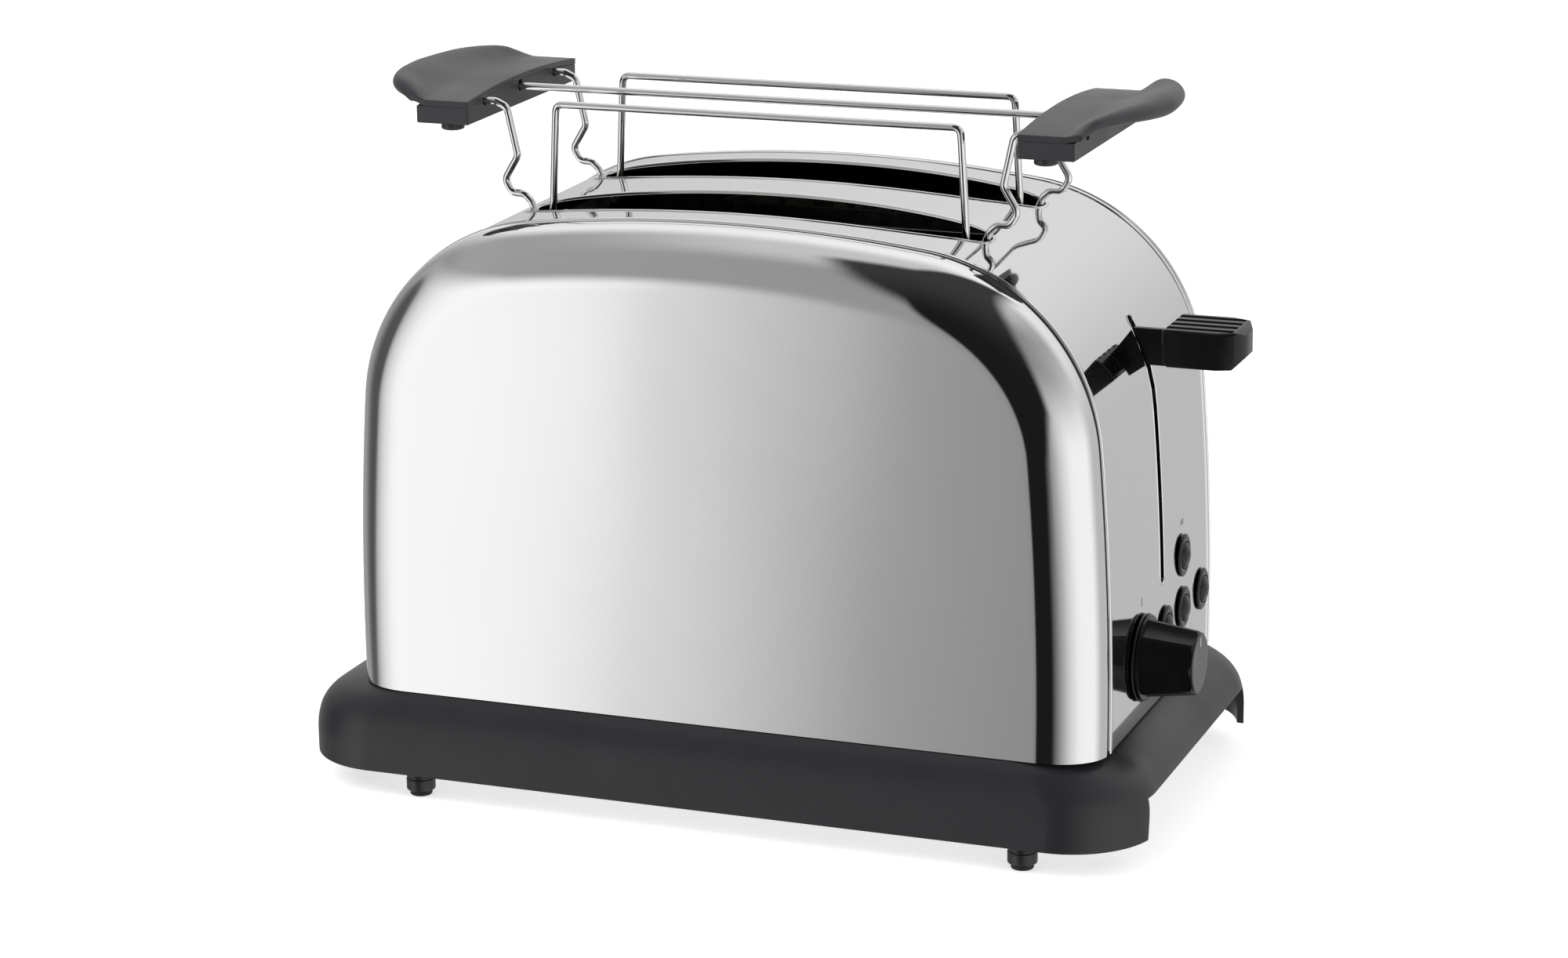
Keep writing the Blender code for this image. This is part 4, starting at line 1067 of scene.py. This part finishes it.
    def gland(self) -> None:
        """Round bushing for the mains lead, with an empty bore."""
        low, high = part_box("cord_gland")
        y = high.y
        profile = [(low.y, 3.3 * MM), (y - 0.4 * MM, 3.3 * MM), (y, 3.7 * MM), (y, 5.9 * MM),
                   (y - 0.4 * MM, 6.6 * MM),
                   (y - 1.2 * MM, 7.0 * MM), (y - 1.2 * MM, 5.15 * MM), (low.y, 5.15 * MM)]
        piece = Bench.lathe("cord_bushing", profile, "y", ((low.x + high.x) / 2, (low.z + high.z) / 2), 48, True)
        Bench.hand_over(piece, Body.HOUSING, SOFT_TIP, "cord_gland")


# ---- chamber ----------------------------------------------------------------
@dataclass
class Chamber:
    """What shows through the slots: guards, heaters, plates and carriages."""

    nodes: Nodes
    rungs: int = 16
    rung_inset: float = 8.0 * MM
    ribbon_half: float = 0.7 * MM
    ribbon_thickness: float = 0.15 * MM

    def build(self) -> None:
        """Dress or remake every inner piece."""
        for side in ("front_inner", "front_outer", "rear_inner", "rear_outer"):
            Bench.dress(self.nodes, f"guard_{side}", f"bread_guard_{side}", Body.HOUSING, BRIGHT_WIRE,
                        0.55 * MM, 2)
            self.heater(side)
        for name in ("reflector_front", "reflector_rear", "end_plate_left", "end_plate_right"):
            Bench.dress(self.nodes, name, f"{name}_sheet", Body.HOUSING, ZINC, 0.15 * MM, 1)
        for side in ("front", "rear"):
            Bench.dress(self.nodes, f"carriage_{side}", f"bread_carriage_{side}", Body.LIFT, ZINC, 0.25 * MM, 2)

    def heater(self, side: str) -> None:
        """Mica board with the rungs of its flat heating ribbon on both faces.

        Args:
            side: which of the four boards, such as 'front_inner'.
        """
        low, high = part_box(f"heater_{side}")
        board = Bench.box(f"heater_board_{side}", low, high)
        Bench.ease(board, 0.1 * MM, 1)
        Bench.hand_over(board, Body.HOUSING, MICA, f"heater_{side}")
        rungs = []
        for k in range(self.rungs):
            z = low.z + (high.z - low.z) * (k + 0.5) / self.rungs
            for y, out in ((low.y, -self.ribbon_thickness), (high.y, self.ribbon_thickness)):
                a, b = sorted((y, y + out))
                rungs.append(Bench.box("rung", (low.x + self.rung_inset, a, z - self.ribbon_half),
                                       (high.x - self.rung_inset, b, z + self.ribbon_half)))
        ribbon = Bench.join(rungs, f"heater_ribbon_{side}")
        Bench.hand_over(ribbon, Body.HOUSING, SPRING_WIRE)


# ---- lift -------------------------------------------------------------------
@dataclass
class LeverDrive:
    """Lever grip and arm, slider, rod, spring and catch."""

    nodes: Nodes
    travel: float = 68.0 * MM
    spring_wire: float = 0.6 * MM
    coils: int = 8
    nose: float = 7.6 * MM
    grooves: int = 4

    def build(self) -> None:
        """Make every piece that the lever moves or slides on."""
        self.grip()
        Bench.dress(self.nodes, "lever_arm", "lever_neck", Body.LIFT, JET, 0.4 * MM, 3)
        for name in ("lift_bracket", "keeper_plate"):
            Bench.dress(self.nodes, name, f"{name}_formed", Body.LIFT, ZINC, 0.2 * MM, 2)
        Bench.dress(self.nodes, "latch_magnet", "latch_coil", Body.HOUSING, ZINC, 0.6 * MM, 3)
        low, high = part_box("guide_rod")
        r = (high.x - low.x) / 2
        centre = ((low.x + high.x) / 2, (low.y + high.y) / 2)
        rod = Bench.lathe("slide_rod", [(low.z, r - 0.3 * MM), (low.z + 0.3 * MM, r), (high.z - 0.5 * MM, r),
                                        (high.z, r - 0.5 * MM)], "z", centre, 32)
        Bench.hand_over(rod, Body.HOUSING, BRIGHT_WIRE, "guide_rod")
        self.spring(centre)

    def grip(self) -> None:
        """Finger grip: squared sides, rounded nose and grooves along its top."""
        low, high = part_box("lever_grip")
        piece = Bench.box("lever_handle", low, high)
        bpy.ops.object.mode_set(mode="EDIT")
        Bench.pick(piece, "EDGE", lambda edge: abs(edge.verts[0].co.z - edge.verts[1].co.z) > 1.0 * MM
                   and edge.verts[0].co.x > (low.x + high.x) / 2)
        bpy.ops.mesh.bevel(offset=self.nose, segments=2, affect="EDGES")
        bpy.ops.mesh.select_all(action="SELECT")
        bpy.ops.mesh.bisect(plane_co=(high.x - 3.2 * MM, 0.0, low.z), plane_no=(0.70, 0.0, -0.71),
                            clear_outer=True, use_fill=True)
        bpy.ops.mesh.select_all(action="SELECT")
        bpy.ops.mesh.bisect(plane_co=(high.x - 2.2 * MM, 0.0, high.z), plane_no=(0.6, 0.0, 0.8),
                            clear_outer=True, use_fill=True)
        bpy.ops.object.mode_set(mode="OBJECT")
        Bench.ease(piece, 1.1 * MM, 3, 60)
        grooves = []
        middle = (low.y + high.y) / 2
        half = (high.y - low.y) / 2
        for k in range(self.grooves):
            y = middle + half * (-0.66 + 0.44 * k)
            grooves.append(Bench.rod("groove", Vector((low.x - 2 * MM, y, high.z + 0.1 * MM)),
                                     Vector((high.x - 3.0 * MM, y, high.z + 0.1 * MM)), 1.45 * MM, 24))
            grooves.append(Bench.rod("groove", Vector((low.x - 2 * MM, y, low.z - 0.4 * MM)),
                                     Vector((high.x - 5.0 * MM, y, low.z - 0.4 * MM)), 1.2 * MM, 20))
        grooves.append(Bench.box("step", (low.x - 1 * MM, low.y - 1 * MM, low.z - 1 * MM),
                                 (low.x + 1.6 * MM, high.y + 1 * MM, low.z + 1.3 * MM)))
        Bench.cut(piece, *grooves)
        Bench.ease(piece, 0.25 * MM, 2, 40)
        Bench.hand_over(piece, Body.LIFT, JET, "lever_grip", angle=30)

    def spring(self, centre: Pair) -> None:
        """Round-wire return spring coiled round the guide rod.

        Args:
            centre: the guide rod's place in X and Y.
        """
        low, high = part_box("lift_spring")
        wire, coils, per = self.spring_wire, self.coils, 28
        r = (high.x - low.x) / 2 - wire
        floor, top = low.z + wire, high.z - wire
        path = []
        for k in range(coils * per + 1):
            a = 2 * math.pi * k / per
            path.append((centre[0] + r * math.cos(a), centre[1] + r * math.sin(a),
                         floor + (top - floor) * k / (coils * per)))
        piece = Bench.wire("return_spring", path, wire, 2)
        Bench.hand_over(piece, Body.HOUSING, SPRING_WIRE, "lift_spring", flat=False)
        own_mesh(piece)


# ---- controls ---------------------------------------------------------------
@dataclass
class Controls:
    """Browning knob, four buttons, their bezels and the board behind."""

    nodes: Nodes
    arch: Arch
    flutes: int = 8
    flute_radius: float = 26.0 * MM
    flange_radius: float = 14.0 * MM
    flange_depth: float = 2.0 * MM
    root_radius: float = 12.6 * MM
    end_radius: float = 10.3 * MM
    bezel_hole: float = 4.6 * MM
    cap_stem: float = 1.8 * MM
    cap_dome: float = 1.7 * MM
    cap_ripple: float = 0.09 * MM

    def build(self) -> None:
        """Make the knob, the buttons and what is behind them."""
        self.knob()
        for name in BUTTONS:
            self.button(name)
        for name in ("control_board", "browning_control"):
            Bench.dress(self.nodes, name, f"{name}_part", Body.HOUSING, GREEN_BOARD, 0.15 * MM, 1)
        self.marks()
        Bench.dress(self.nodes, "knob_shaft", "browning_shaft", Body.KNOB, ZINC, 0.2 * MM, 2)

    def marks(self) -> None:
        """Plain printed ticks: one over the knob and three short bars over the upper button."""
        low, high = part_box("browning_knob")
        knob_y, knob_z = (low.y + high.y) / 2, (low.z + high.z) / 2
        low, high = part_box("button_ring_cancel")
        cap_y, cap_z = (low.y + high.y) / 2, (low.z + high.z) / 2
        spots = [(knob_y, knob_z + 18.0 * MM, 0.25 * MM, 1.4 * MM)]
        spots += [(cap_y + k * 1.3 * MM, cap_z + 11.0 * MM, 0.22 * MM, 0.9 * MM) for k in (-1, 0, 1)]
        bars = []
        for y, z, half, rise in spots:
            bar = Bench.box("print_bar", (-0.05 * MM, y - half, -rise), (0.0, y + half, rise))
            slope = (self.arch.wall(z + rise) - self.arch.wall(z - rise)) / (2 * rise)
            bar.data.transform(Matrix.Translation((self.arch.wall(z) + 0.04 * MM, 0.0, z))
                               @ Matrix.Rotation(math.atan(slope), 4, "Y"))
            bars.append(bar)
        Bench.hand_over(Bench.join(bars, "printed_marks"), Body.HOUSING, PRINT)

    def knob(self) -> None:
        """Tapered knob: grooved flange, eight flat flutes and a grey end disc."""
        low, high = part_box("browning_knob")
        y, z = (low.y + high.y) / 2, (low.z + high.z) / 2
        back, tip = low.x, high.x
        big, root, end = self.flange_radius, self.root_radius, self.end_radius
        step = back + self.flange_depth
        flange = Bench.lathe("knob_flange", [
            (back, big - 0.5 * MM), (back + 0.15 * MM, big - 0.1 * MM), (back + 0.65 * MM, big),
            (back + 0.8 * MM, big - 0.2 * MM), (back + 0.9 * MM, big - 1.0 * MM), (back + 1.15 * MM, big - 1.0 * MM),
            (back + 1.25 * MM, big - 0.4 * MM), (back + 1.8 * MM, big - 0.5 * MM), (step, big - 0.9 * MM)],
            "x", (y, z), 96)
        Bench.hand_over(flange, Body.KNOB, JET, angle=50)
        body = Bench.lathe("knob_body", [(step - 0.4 * MM, root), (tip - 1.2 * MM, end + 0.1 * MM),
                                         (tip - 0.9 * MM, end), (tip - 0.5 * MM, end - 0.5 * MM)], "x", (y, z), 120)
        cutters, big_cut = [], self.flute_radius
        for k in range(self.flutes):
            a = 2 * math.pi * (k + 0.5) / self.flutes
            reach0, reach1 = root - 0.85 * MM + big_cut, end - 0.65 * MM + big_cut
            run = tip - step
            slope = (reach1 - reach0) / run
            x0, x1 = step + 0.1 * MM, tip + 4 * MM
            r0, r1 = reach0 + slope * (x0 - step), reach0 + slope * (x1 - step)
            cutters.append(Bench.rod("flute", Vector((x0, y + r0 * math.cos(a), z + r0 * math.sin(a))),
                                     Vector((x1, y + r1 * math.cos(a), z + r1 * math.sin(a))), big_cut, 160))
        Bench.cut(body, *cutters)
        Bench.ease(body, 0.22 * MM, 2, 25)
        Bench.hand_over(body, Body.KNOB, JET, "browning_knob", angle=24)
        disc = Bench.lathe("knob_disc", [(tip - 0.9 * MM, end - 1.0 * MM), (tip - 0.2 * MM, end - 1.0 * MM),
                                         (tip - 0.05 * MM, end - 1.2 * MM), (tip, end - 1.6 * MM),
                                         (tip - 0.05 * MM, 3.0 * MM)], "x", (y, z), 96)
        Bench.hand_over(disc, Body.KNOB, GREY_DISC, angle=40)
        mark = Bench.box("knob_pointer", (tip - 0.3 * MM, y - 0.45 * MM, z + 5.2 * MM),
                         (tip + 0.12 * MM, y + 0.45 * MM, z + 8.3 * MM))
        Bench.ease(mark, 0.08 * MM, 2)
        Bench.hand_over(mark, Body.KNOB, PALE_MARK)

    def button(self, name: str) -> None:
        """Raised bezel ring and a domed cap with fine rings pressed in it.

        Args:
            name: which button.
        """
        low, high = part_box(f"button_ring_{name}")
        y, z = (low.y + high.y) / 2, (low.z + high.z) / 2
        x, hole, r = low.x, self.bezel_hole, (high.y - low.y) / 2
        ring = Bench.lathe(f"bezel_{name}", [
            (x, hole), (x, r - 0.2 * MM), (x + 0.2 * MM, r), (x + 0.4 * MM, r - 0.05 * MM),
            (x + 0.65 * MM, r - 0.45 * MM), (x + 0.8 * MM, r - 1.0 * MM), (x + 0.85 * MM, r - 1.5 * MM),
            (x + 0.8 * MM, hole + 0.25 * MM), (x + 0.6 * MM, hole)], "x", (y, z), 72, True)
        Bench.hand_over(ring, Body.HOUSING, JET_GLOSS, f"button_ring_{name}", angle=50, flat=False)
        low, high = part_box(f"button_{name}")
        r, front = (high.y - low.y) / 2, high.x - 1.0 * MM
        start = x - 3.3 * MM
        dome = front - self.cap_dome
        profile = [(low.x, self.cap_stem), (start, self.cap_stem), (start + 0.1 * MM, r - 0.1 * MM), (dome, r)]
        for k in range(1, 25):
            a = math.pi / 2 * k / 24
            ripple = self.cap_ripple * math.sin(7 * math.pi * k / 12) if 3 < k < 23 else 0.0
            profile.append((dome + self.cap_dome * math.sin(a) + ripple, max(r * math.cos(a), 0.05 * MM)))
        cap = Bench.lathe(f"cap_{name}", profile, "x", (y, z), 64)
        Bench.hand_over(cap, f"{name}_button", JET_CAP, f"button_{name}", angle=50, flat=False)


# ---- rack -------------------------------------------------------------------
@dataclass
class BunRack:
    """Wire rack with two winged handles, lifted off by hand."""

    nodes: Nodes
    arch: Arch
    y: float
    bar_z: float = 220.6 * MM
    rod_y: float = 27.4 * MM
    wire_radius: float = 1.2 * MM
    loop_x: float = 67.4 * MM
    inner_x: float = 92.0 * MM
    half_depth: float = 41.0 * MM
    shifts: dict[int, Pair] = field(default_factory=lambda: {-1: (0.0, 3.4 * MM), 1: (-2.0 * MM, 0.4 * MM)})

    def build(self) -> None:
        """Make the wires and both handles."""
        self.wires()
        for side, name in ((-1, "left"), (1, "right")):
            self.cover(side, name)
            self.block(side, name)

    def block(self, side: int, name: str) -> None:
        """Block under a wing, with the two bosses that grip the wires' ends.

        Args:
            side: -1 for the left, 1 for the right.
            name: 'left' or 'right'.
        """
        shift, tail = self.shifts[side]
        block = Bench.copy_of(self.nodes[f"handle_block_{name}"], f"grip_block_{name}")
        block.data.transform(Matrix.Translation((shift, 0.0, 0.0)))
        end = self.y - side * (self.half_depth - 3 * MM)
        bpy.ops.object.mode_set(mode="EDIT")
        form = bmesh.from_edit_mesh(block.data)
        for vert in form.verts:
            vert.select_set(side * (vert.co.y - end) < 0)
        form.select_flush_mode()
        bmesh.update_edit_mesh(block.data)
        bpy.ops.transform.translate(value=(0.0, -side * tail, 0.0))
        bpy.ops.object.mode_set(mode="OBJECT")
        Bench.ease(block, 0.4 * MM, 2, 50)
        Bench.hand_over(block, Body.RACK, GREY_GRIP, f"handle_block_{name}")
        for end_name in ("front", "rear"):
            node = f"handle_boss_{name}_{end_name}"
            low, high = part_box(node)
            r = (high.x - low.x) / 2
            boss = Bench.lathe(f"grip_boss_{name}_{end_name}", [
                (low.z, r - 1.0 * MM), (low.z + 0.2 * MM, r - 0.4 * MM), (low.z + 0.5 * MM, r), (high.z, r)],
                "z", ((low.x + high.x) / 2 + shift, (low.y + high.y) / 2), 40)
            Bench.hand_over(boss, Body.RACK, GREY_GRIP, node)

    def wires(self) -> None:
        """Two outer wires with their hooked legs and one straight middle wire."""
        seat = self.arch.top(self.arch.x + self.loop_x + 12 * MM)
        upper = [(38.6, 0.0), (21.1, 0.0), (17.2, -1.8), (13.8, -17.4)]
        hook = [(18.5, 10.1), (16.2, 5.9), (12.0, 5.8), (9.5, 3.5), (6.2, -4.5), (4.2, -7.1), (2.2, -4.5)]
        back = [(0.4, -5.0), (0.0, 0.0)]
        leg = [(self.loop_x + dx * MM, z + dz * MM)
               for line, z in ((upper, self.bar_z), (hook, seat), (back, self.bar_z)) for dx, dz in line]
        for side, name in ((-1, "front"), (1, "rear")):
            y = self.y + side * self.rod_y
            path = [(self.arch.x - x, y, z) for x, z in leg] + [(self.arch.x + x, y, z) for x, z in leg[::-1]]
            wire = Bench.wire(f"rack_rod_{name}", round_corners(path, 3.2 * MM), self.wire_radius, 5)
            Bench.hand_over(wire, Body.RACK, BRIGHT_WIRE, f"rack_wire_{name}", angle=50, flat=False)
        end = leg[0][0]
        line = [(self.arch.x - end + 2 * end * k / 8, self.y, self.bar_z) for k in range(9)]
        wire = Bench.wire("rack_rod_centre", line, self.wire_radius, 5)
        Bench.hand_over(wire, Body.RACK, BRIGHT_WIRE, "rack_wire_centre", angle=50, flat=False)

    def cover(self, side: int, name: str) -> None:
        """Flowing wing: flat inner strip that sweeps up and out into a fat rounded nose.

        The right wing leans to the rear and the left one, a like moulding turned round, to the front.

        Args:
            side: -1 for the left, 1 for the right.
            name: 'left' or 'right'.
        """
        reaches = smooth_line([(-1.0, 20.4), (-0.9, 22.0), (-0.8, 24.8), (-0.6, 29.4), (-0.33, 33.8), (0.0, 36.4),
                               (0.2, 36.6), (0.46, 35.4), (0.65, 33.0), (0.8, 29.5), (0.92, 25.0), (1.0, 20.8)], 6)
        crests = smooth_line([(-1.0, 0.8), (-0.9, 2.3), (-0.78, 3.9), (-0.5, 4.4), (0.0, 4.1), (0.5, 4.6), (0.8, 4.9),
                              (0.93, 3.8), (1.0, 1.6)], 6)
        noses = smooth_line([(-1.0, 2.0), (-0.8, 3.4), (-0.5, 5.0), (0.0, 6.8), (0.5, 7.0), (0.8, 5.8), (0.93, 4.0),
                             (1.0, 2.2)], 6)
        rows, count, skin, flat_run, nose_ratio = [], 72, 1.9, 14.5, 0.62
        shift, tail = self.shifts[side]
        for k in range(count + 1):
            w = -1 + 2 * k / count
            reach, crest, nose = (self.along(line, w) for line in (reaches, crests, noses))
            if side < 0:
                reach -= 0.05
            tip = reach - nose_ratio * nose
            crown = 1.7 + 2.3 * (1 - w * w)
            above, below = [], []
            for i in range(31):
                x = tip * i / 30
                t = min(max((x - flat_run) / (tip - flat_run), 0.0), 1.0)
                rise = t * t * (3 - 2 * t)
                above.append((x, crown + crest * rise))
                thicken = (nose - skin) * max(0.0, (t - 0.15) / 0.85) ** 1.3
                below.append((x, crown + crest * rise - skin - thicken))
            turn = []
            for i in range(1, 14):
                a = math.pi / 2 - math.pi * i / 14
                turn.append((tip + nose_ratio * nose * math.cos(a),
                             crown + crest - nose / 2 + nose / 2 * math.sin(a)))
            section = above + turn + below[::-1]
            run = w * (self.half_depth if w > 0 else self.half_depth + tail)
            rows.append([(self.arch.x + shift + side * (self.inner_x + x * MM), self.y + side * run,
                          self.bar_z + z * MM) for x, z in section])
        piece = Bench.skin(f"grip_wing_{name}", rows, loop=False)
        Bench.ease(piece, 0.6 * MM, 3, 50)
        Bench.hand_over(piece, Body.RACK, GREY_GRIP, f"handle_cover_{name}", angle=42, flat=False)

    def along(self, line: list[Pair], spot: float) -> float:
        """Value of a line at a place along it.

        Args:
            line: (place, value) points in order.
            spot: the place.

        Returns:
            The value there.
        """
        for (a, low), (b, high) in zip(line, line[1:]):
            if spot <= b:
                return low + (high - low) * max(0.0, spot - a) / max(b - a, 1e-9)
        return line[-1][1]


# ---- studio -----------------------------------------------------------------
@dataclass
class Dial:
    """Small maths on the direction a mirror looks in, for the room's shading."""

    tree: NodeTree

    def sum(self, kind: str, a: Socket | float, b: Socket | float = 0.0) -> Socket:
        """One maths node.

        Args:
            kind: the operation, such as 'ADD'.
            a: first socket or number.
            b: second socket or number.

        Returns:
            The result.
        """
        node = self.tree.nodes.new("ShaderNodeMath")
        node.operation = kind
        for socket, value in zip(node.inputs, (a, b)):
            if isinstance(value, Socket):
                self.tree.links.new(value, socket)
            else:
                socket.default_value = value
        return node.outputs[0]

    def step(self, value: Socket, low: float, high: float) -> Socket:
        """Smooth rise from 0 to 1.

        Args:
            value: what the rise follows.
            low: where it starts.
            high: where it ends.

        Returns:
            The rise.
        """
        node = self.tree.nodes.new("ShaderNodeMapRange")
        node.interpolation_type = "SMOOTHSTEP"
        node.inputs["From Min"].default_value = low
        node.inputs["From Max"].default_value = high
        self.tree.links.new(value, node.inputs["Value"])
        return node.outputs["Result"]

    def ramp(self, value: Socket, stops: list[Pair]) -> Socket:
        """Smooth level along a value that runs from -1 to 1.

        Args:
            value: what the level follows.
            stops: (value, level) points in order.

        Returns:
            The level.
        """
        place = self.sum("MULTIPLY", self.sum("ADD", value, 1.0), 0.5)
        node = self.tree.nodes.new("ShaderNodeFloatCurve")
        curve = node.mapping.curves[0]
        node.mapping.use_clip = False
        first, *middle, last = stops
        for point, (spot, level) in zip((curve.points[0], curve.points[-1]), (first, last)):
            point.location = ((spot + 1) / 2, level)
        for spot, level in middle:
            curve.points.new((spot + 1) / 2, level)
        for point in curve.points:
            point.handle_type = "AUTO_CLAMPED"
        node.mapping.update()
        self.tree.links.new(place, node.inputs["Value"])
        return node.outputs[0]

    def blend(self, a: Socket | float, b: Socket | float, amount: Socket) -> Socket:
        """Mix of a and b, all b where amount is 1."""
        keep = self.sum("SUBTRACT", 1.0, amount)
        return self.sum("ADD", self.sum("MULTIPLY", a, keep), self.sum("MULTIPLY", b, amount))


@dataclass
class Studio:
    """Pale floor, soft lights, the room that the steel mirrors, and the camera."""

    ambient: float = 0.62
    backdrop: float = 1.02

    def build(self) -> None:
        """Set the whole studio."""
        self.world()
        self.floor()
        self.lights()
        self.camera()

    def world(self) -> None:
        """White room with a tall dark flag in front, a bright wall on the left and a soft one on the right."""
        world = bpy.data.worlds.new("studio_room")
        bpy.context.scene.world = world
        bpy.context.scene.view_settings.view_transform = "Standard"
        world.use_nodes = True
        tree = world.node_tree
        dial = Dial(tree)
        coords = tree.nodes.new("ShaderNodeTexCoord")
        split = tree.nodes.new("ShaderNodeSeparateXYZ")
        tree.links.new(coords.outputs["Generated"], split.inputs[0])
        x, z = split.outputs["X"], split.outputs["Z"]
        front = dial.sum("MULTIPLY", split.outputs["Y"], -1.0)
        low = dial.ramp(x, [(-1.0, 0.10), (-0.96, 0.10), (-0.92, 0.38), (-0.85, 0.74), (-0.74, 0.97), (-0.60, 1.12),
                            (-0.44, 1.16), (-0.375, 0.84), (-0.335, 0.54), (-0.30, 0.36), (-0.25, 0.30),
                            (0.16, 0.20), (0.32, 0.38), (0.53, 0.74), (0.66, 0.93), (0.80, 1.07), (1.0, 1.09)])
        high = dial.ramp(x, [(-1.0, 0.20), (-0.85, 0.34), (-0.70, 0.42), (-0.40, 0.38), (-0.30, 0.36), (0.30, 0.25),
                             (0.45, 0.26), (0.55, 0.31), (0.70, 0.38), (0.82, 0.46), (0.95, 0.62), (1.0, 0.70)])
        slope = dial.sum("MULTIPLY", dial.sum("MINIMUM", dial.sum("ADD", x, 0.40), 0.1), 0.9)
        left_rise = dial.step(dial.sum("ADD", z, slope), -0.12, 0.16)
        right_rise = dial.step(z, -0.15, 0.42)
        rise = dial.blend(left_rise, right_rise, dial.step(x, -0.1, 0.3))
        wall = dial.blend(low, high, rise)
        zenith = dial.step(z, 0.60, 0.92)
        wall = dial.blend(wall, 0.66, dial.sum("MULTIPLY", zenith, dial.step(x, -0.55, -0.30)))
        back = dial.ramp(z, [(-1.0, 0.55), (-0.3, 0.57), (0.0, 0.62), (0.2, 0.72), (0.36, 0.83), (0.7, 0.98),
                             (1.0, 1.14)])
        sides = dial.step(dial.sum("ABSOLUTE", dial.sum("ADD", x, -0.05)), 0.55, 0.95)
        back = dial.blend(back, 0.34, dial.sum("MULTIPLY", sides, dial.step(x, 0.2, -0.2)))
        room = dial.blend(wall, back, dial.step(front, 0.10, -0.45))
        right_edge = dial.sum("ADD", dial.sum("ADD", z, 0.27), 0.14)
        right_edge = dial.sum("MINIMUM", dial.sum("MAXIMUM", right_edge, 0.14), 0.43)
        inside = dial.step(dial.sum("SUBTRACT", x, right_edge), 0.11, -0.06)
        back_edge = dial.sum("SUBTRACT", 0.05, dial.sum("MULTIPLY", x, 1.1))
        inside = dial.sum("MULTIPLY", inside, dial.step(dial.sum("SUBTRACT", front, back_edge), -0.08, 0.12))
        flag = dial.sum("MULTIPLY", inside, dial.step(x, -0.275, -0.235))
        dark = dial.sum("ADD", 0.012, dial.sum("MULTIPLY", dial.step(z, 0.1, 1.0), 0.036))
        room = dial.blend(room, dark, flag)
        path = tree.nodes.new("ShaderNodeLightPath")
        level = dial.blend(self.ambient, room, path.outputs["Is Glossy Ray"])
        level = dial.blend(level, self.backdrop, path.outputs["Is Camera Ray"])
        back_node = tree.nodes["Background"]
        back_node.inputs["Color"].default_value = (1.0, 1.0, 1.0, 1.0)
        tree.links.new(level, back_node.inputs["Strength"])

    def floor(self) -> None:
        """Wide white floor that glows a little, so that only a faint shadow is left."""
        Bench.clear()
        bpy.ops.mesh.primitive_plane_add(size=14.0, location=(0.0, 0.0, 0.0))
        floor = bpy.context.object
        floor.name = "studio_floor"
        mat = bpy.data.materials.new("pale_floor")
        mat.use_nodes = True
        shader = mat.node_tree.nodes["Principled BSDF"]
        shader.inputs["Base Color"].default_value = (0.9, 0.9, 0.9, 1.0)
        shader.inputs["Roughness"].default_value = 0.9
        shader.inputs["Specular IOR Level"].default_value = 0.0
        shader.inputs["Emission Color"].default_value = (1.0, 1.0, 1.0, 1.0)
        shader.inputs["Emission Strength"].default_value = 0.60
        floor.data.materials.append(mat)
        floor.visible_glossy = False
        floor.visible_diffuse = False
        floor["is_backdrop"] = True

    def lights(self) -> None:
        """Big soft key from the upper left and a weaker fill from the right."""
        for name, spot, size, power in (("key", (-1.3, -1.0, 1.9), 1.5, 17.0),
                                        ("fill", (1.7, -0.5, 1.2), 1.4, 6.0)):
            light = bpy.data.lights.new(name, "AREA")
            light.shape = "SQUARE"
            light.size = size
            light.energy = power
            lamp = bpy.data.objects.new(name, light)
            lamp.location = spot
            lamp.rotation_euler = (-(Vector(spot) - Vector((0, 0, 0.1)))).to_track_quat("-Z", "Y").to_euler()
            lamp.visible_glossy = False
            bpy.context.scene.collection.objects.link(lamp)

    def camera(self) -> None:
        """Camera at the product's usual three-quarter view."""
        lens = bpy.data.cameras.new("studio_camera")
        lens.sensor_width = 36.0
        lens.lens = 93.995
        lens.shift_x = 0.017005
        lens.shift_y = -0.01275
        lens.clip_start = 0.05
        camera = bpy.data.objects.new("studio_camera", lens)
        camera.location = (0.45222, -1.19944, 0.45530)
        camera.rotation_euler = (math.radians(74.628), math.radians(0.768), math.radians(21.07))
        bpy.context.scene.collection.objects.link(camera)
        bpy.context.scene.camera = camera


def main() -> None:
    """Load the frame, build every sub-assembly and set the studio."""
    logging.basicConfig(level=logging.INFO, format="%(message)s")
    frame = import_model()
    nodes = frame["nodes"]
    band_low, band_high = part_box("centre_band")
    arch = Arch(x=(band_low.x + band_high.x) / 2)
    middle_y = (band_low.y + band_high.y) / 2
    lever_low, lever_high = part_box("lever_arm")
    button_hole, shaft_hole = 4.8 * MM, 3.6 * MM
    holes = []
    fitted = [(f"button_ring_{name}", button_hole) for name in BUTTONS]
    for name, radius in [*fitted, ("browning_knob", shaft_hole)]:
        low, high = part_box(name)
        holes.append(((low.y + high.y) / 2, (low.z + high.z) / 2, radius))
    SteelBody(arch, middle_y, lever_y=(lever_low.y + lever_high.y) / 2, holes=holes).build()
    Base(nodes).build()
    Chamber(nodes).build()
    LeverDrive(nodes).build()
    Controls(nodes, arch).build()
    BunRack(nodes, arch, middle_y).build()
    Studio().build()
    low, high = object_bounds()


if __name__ == "__main__":
    main()
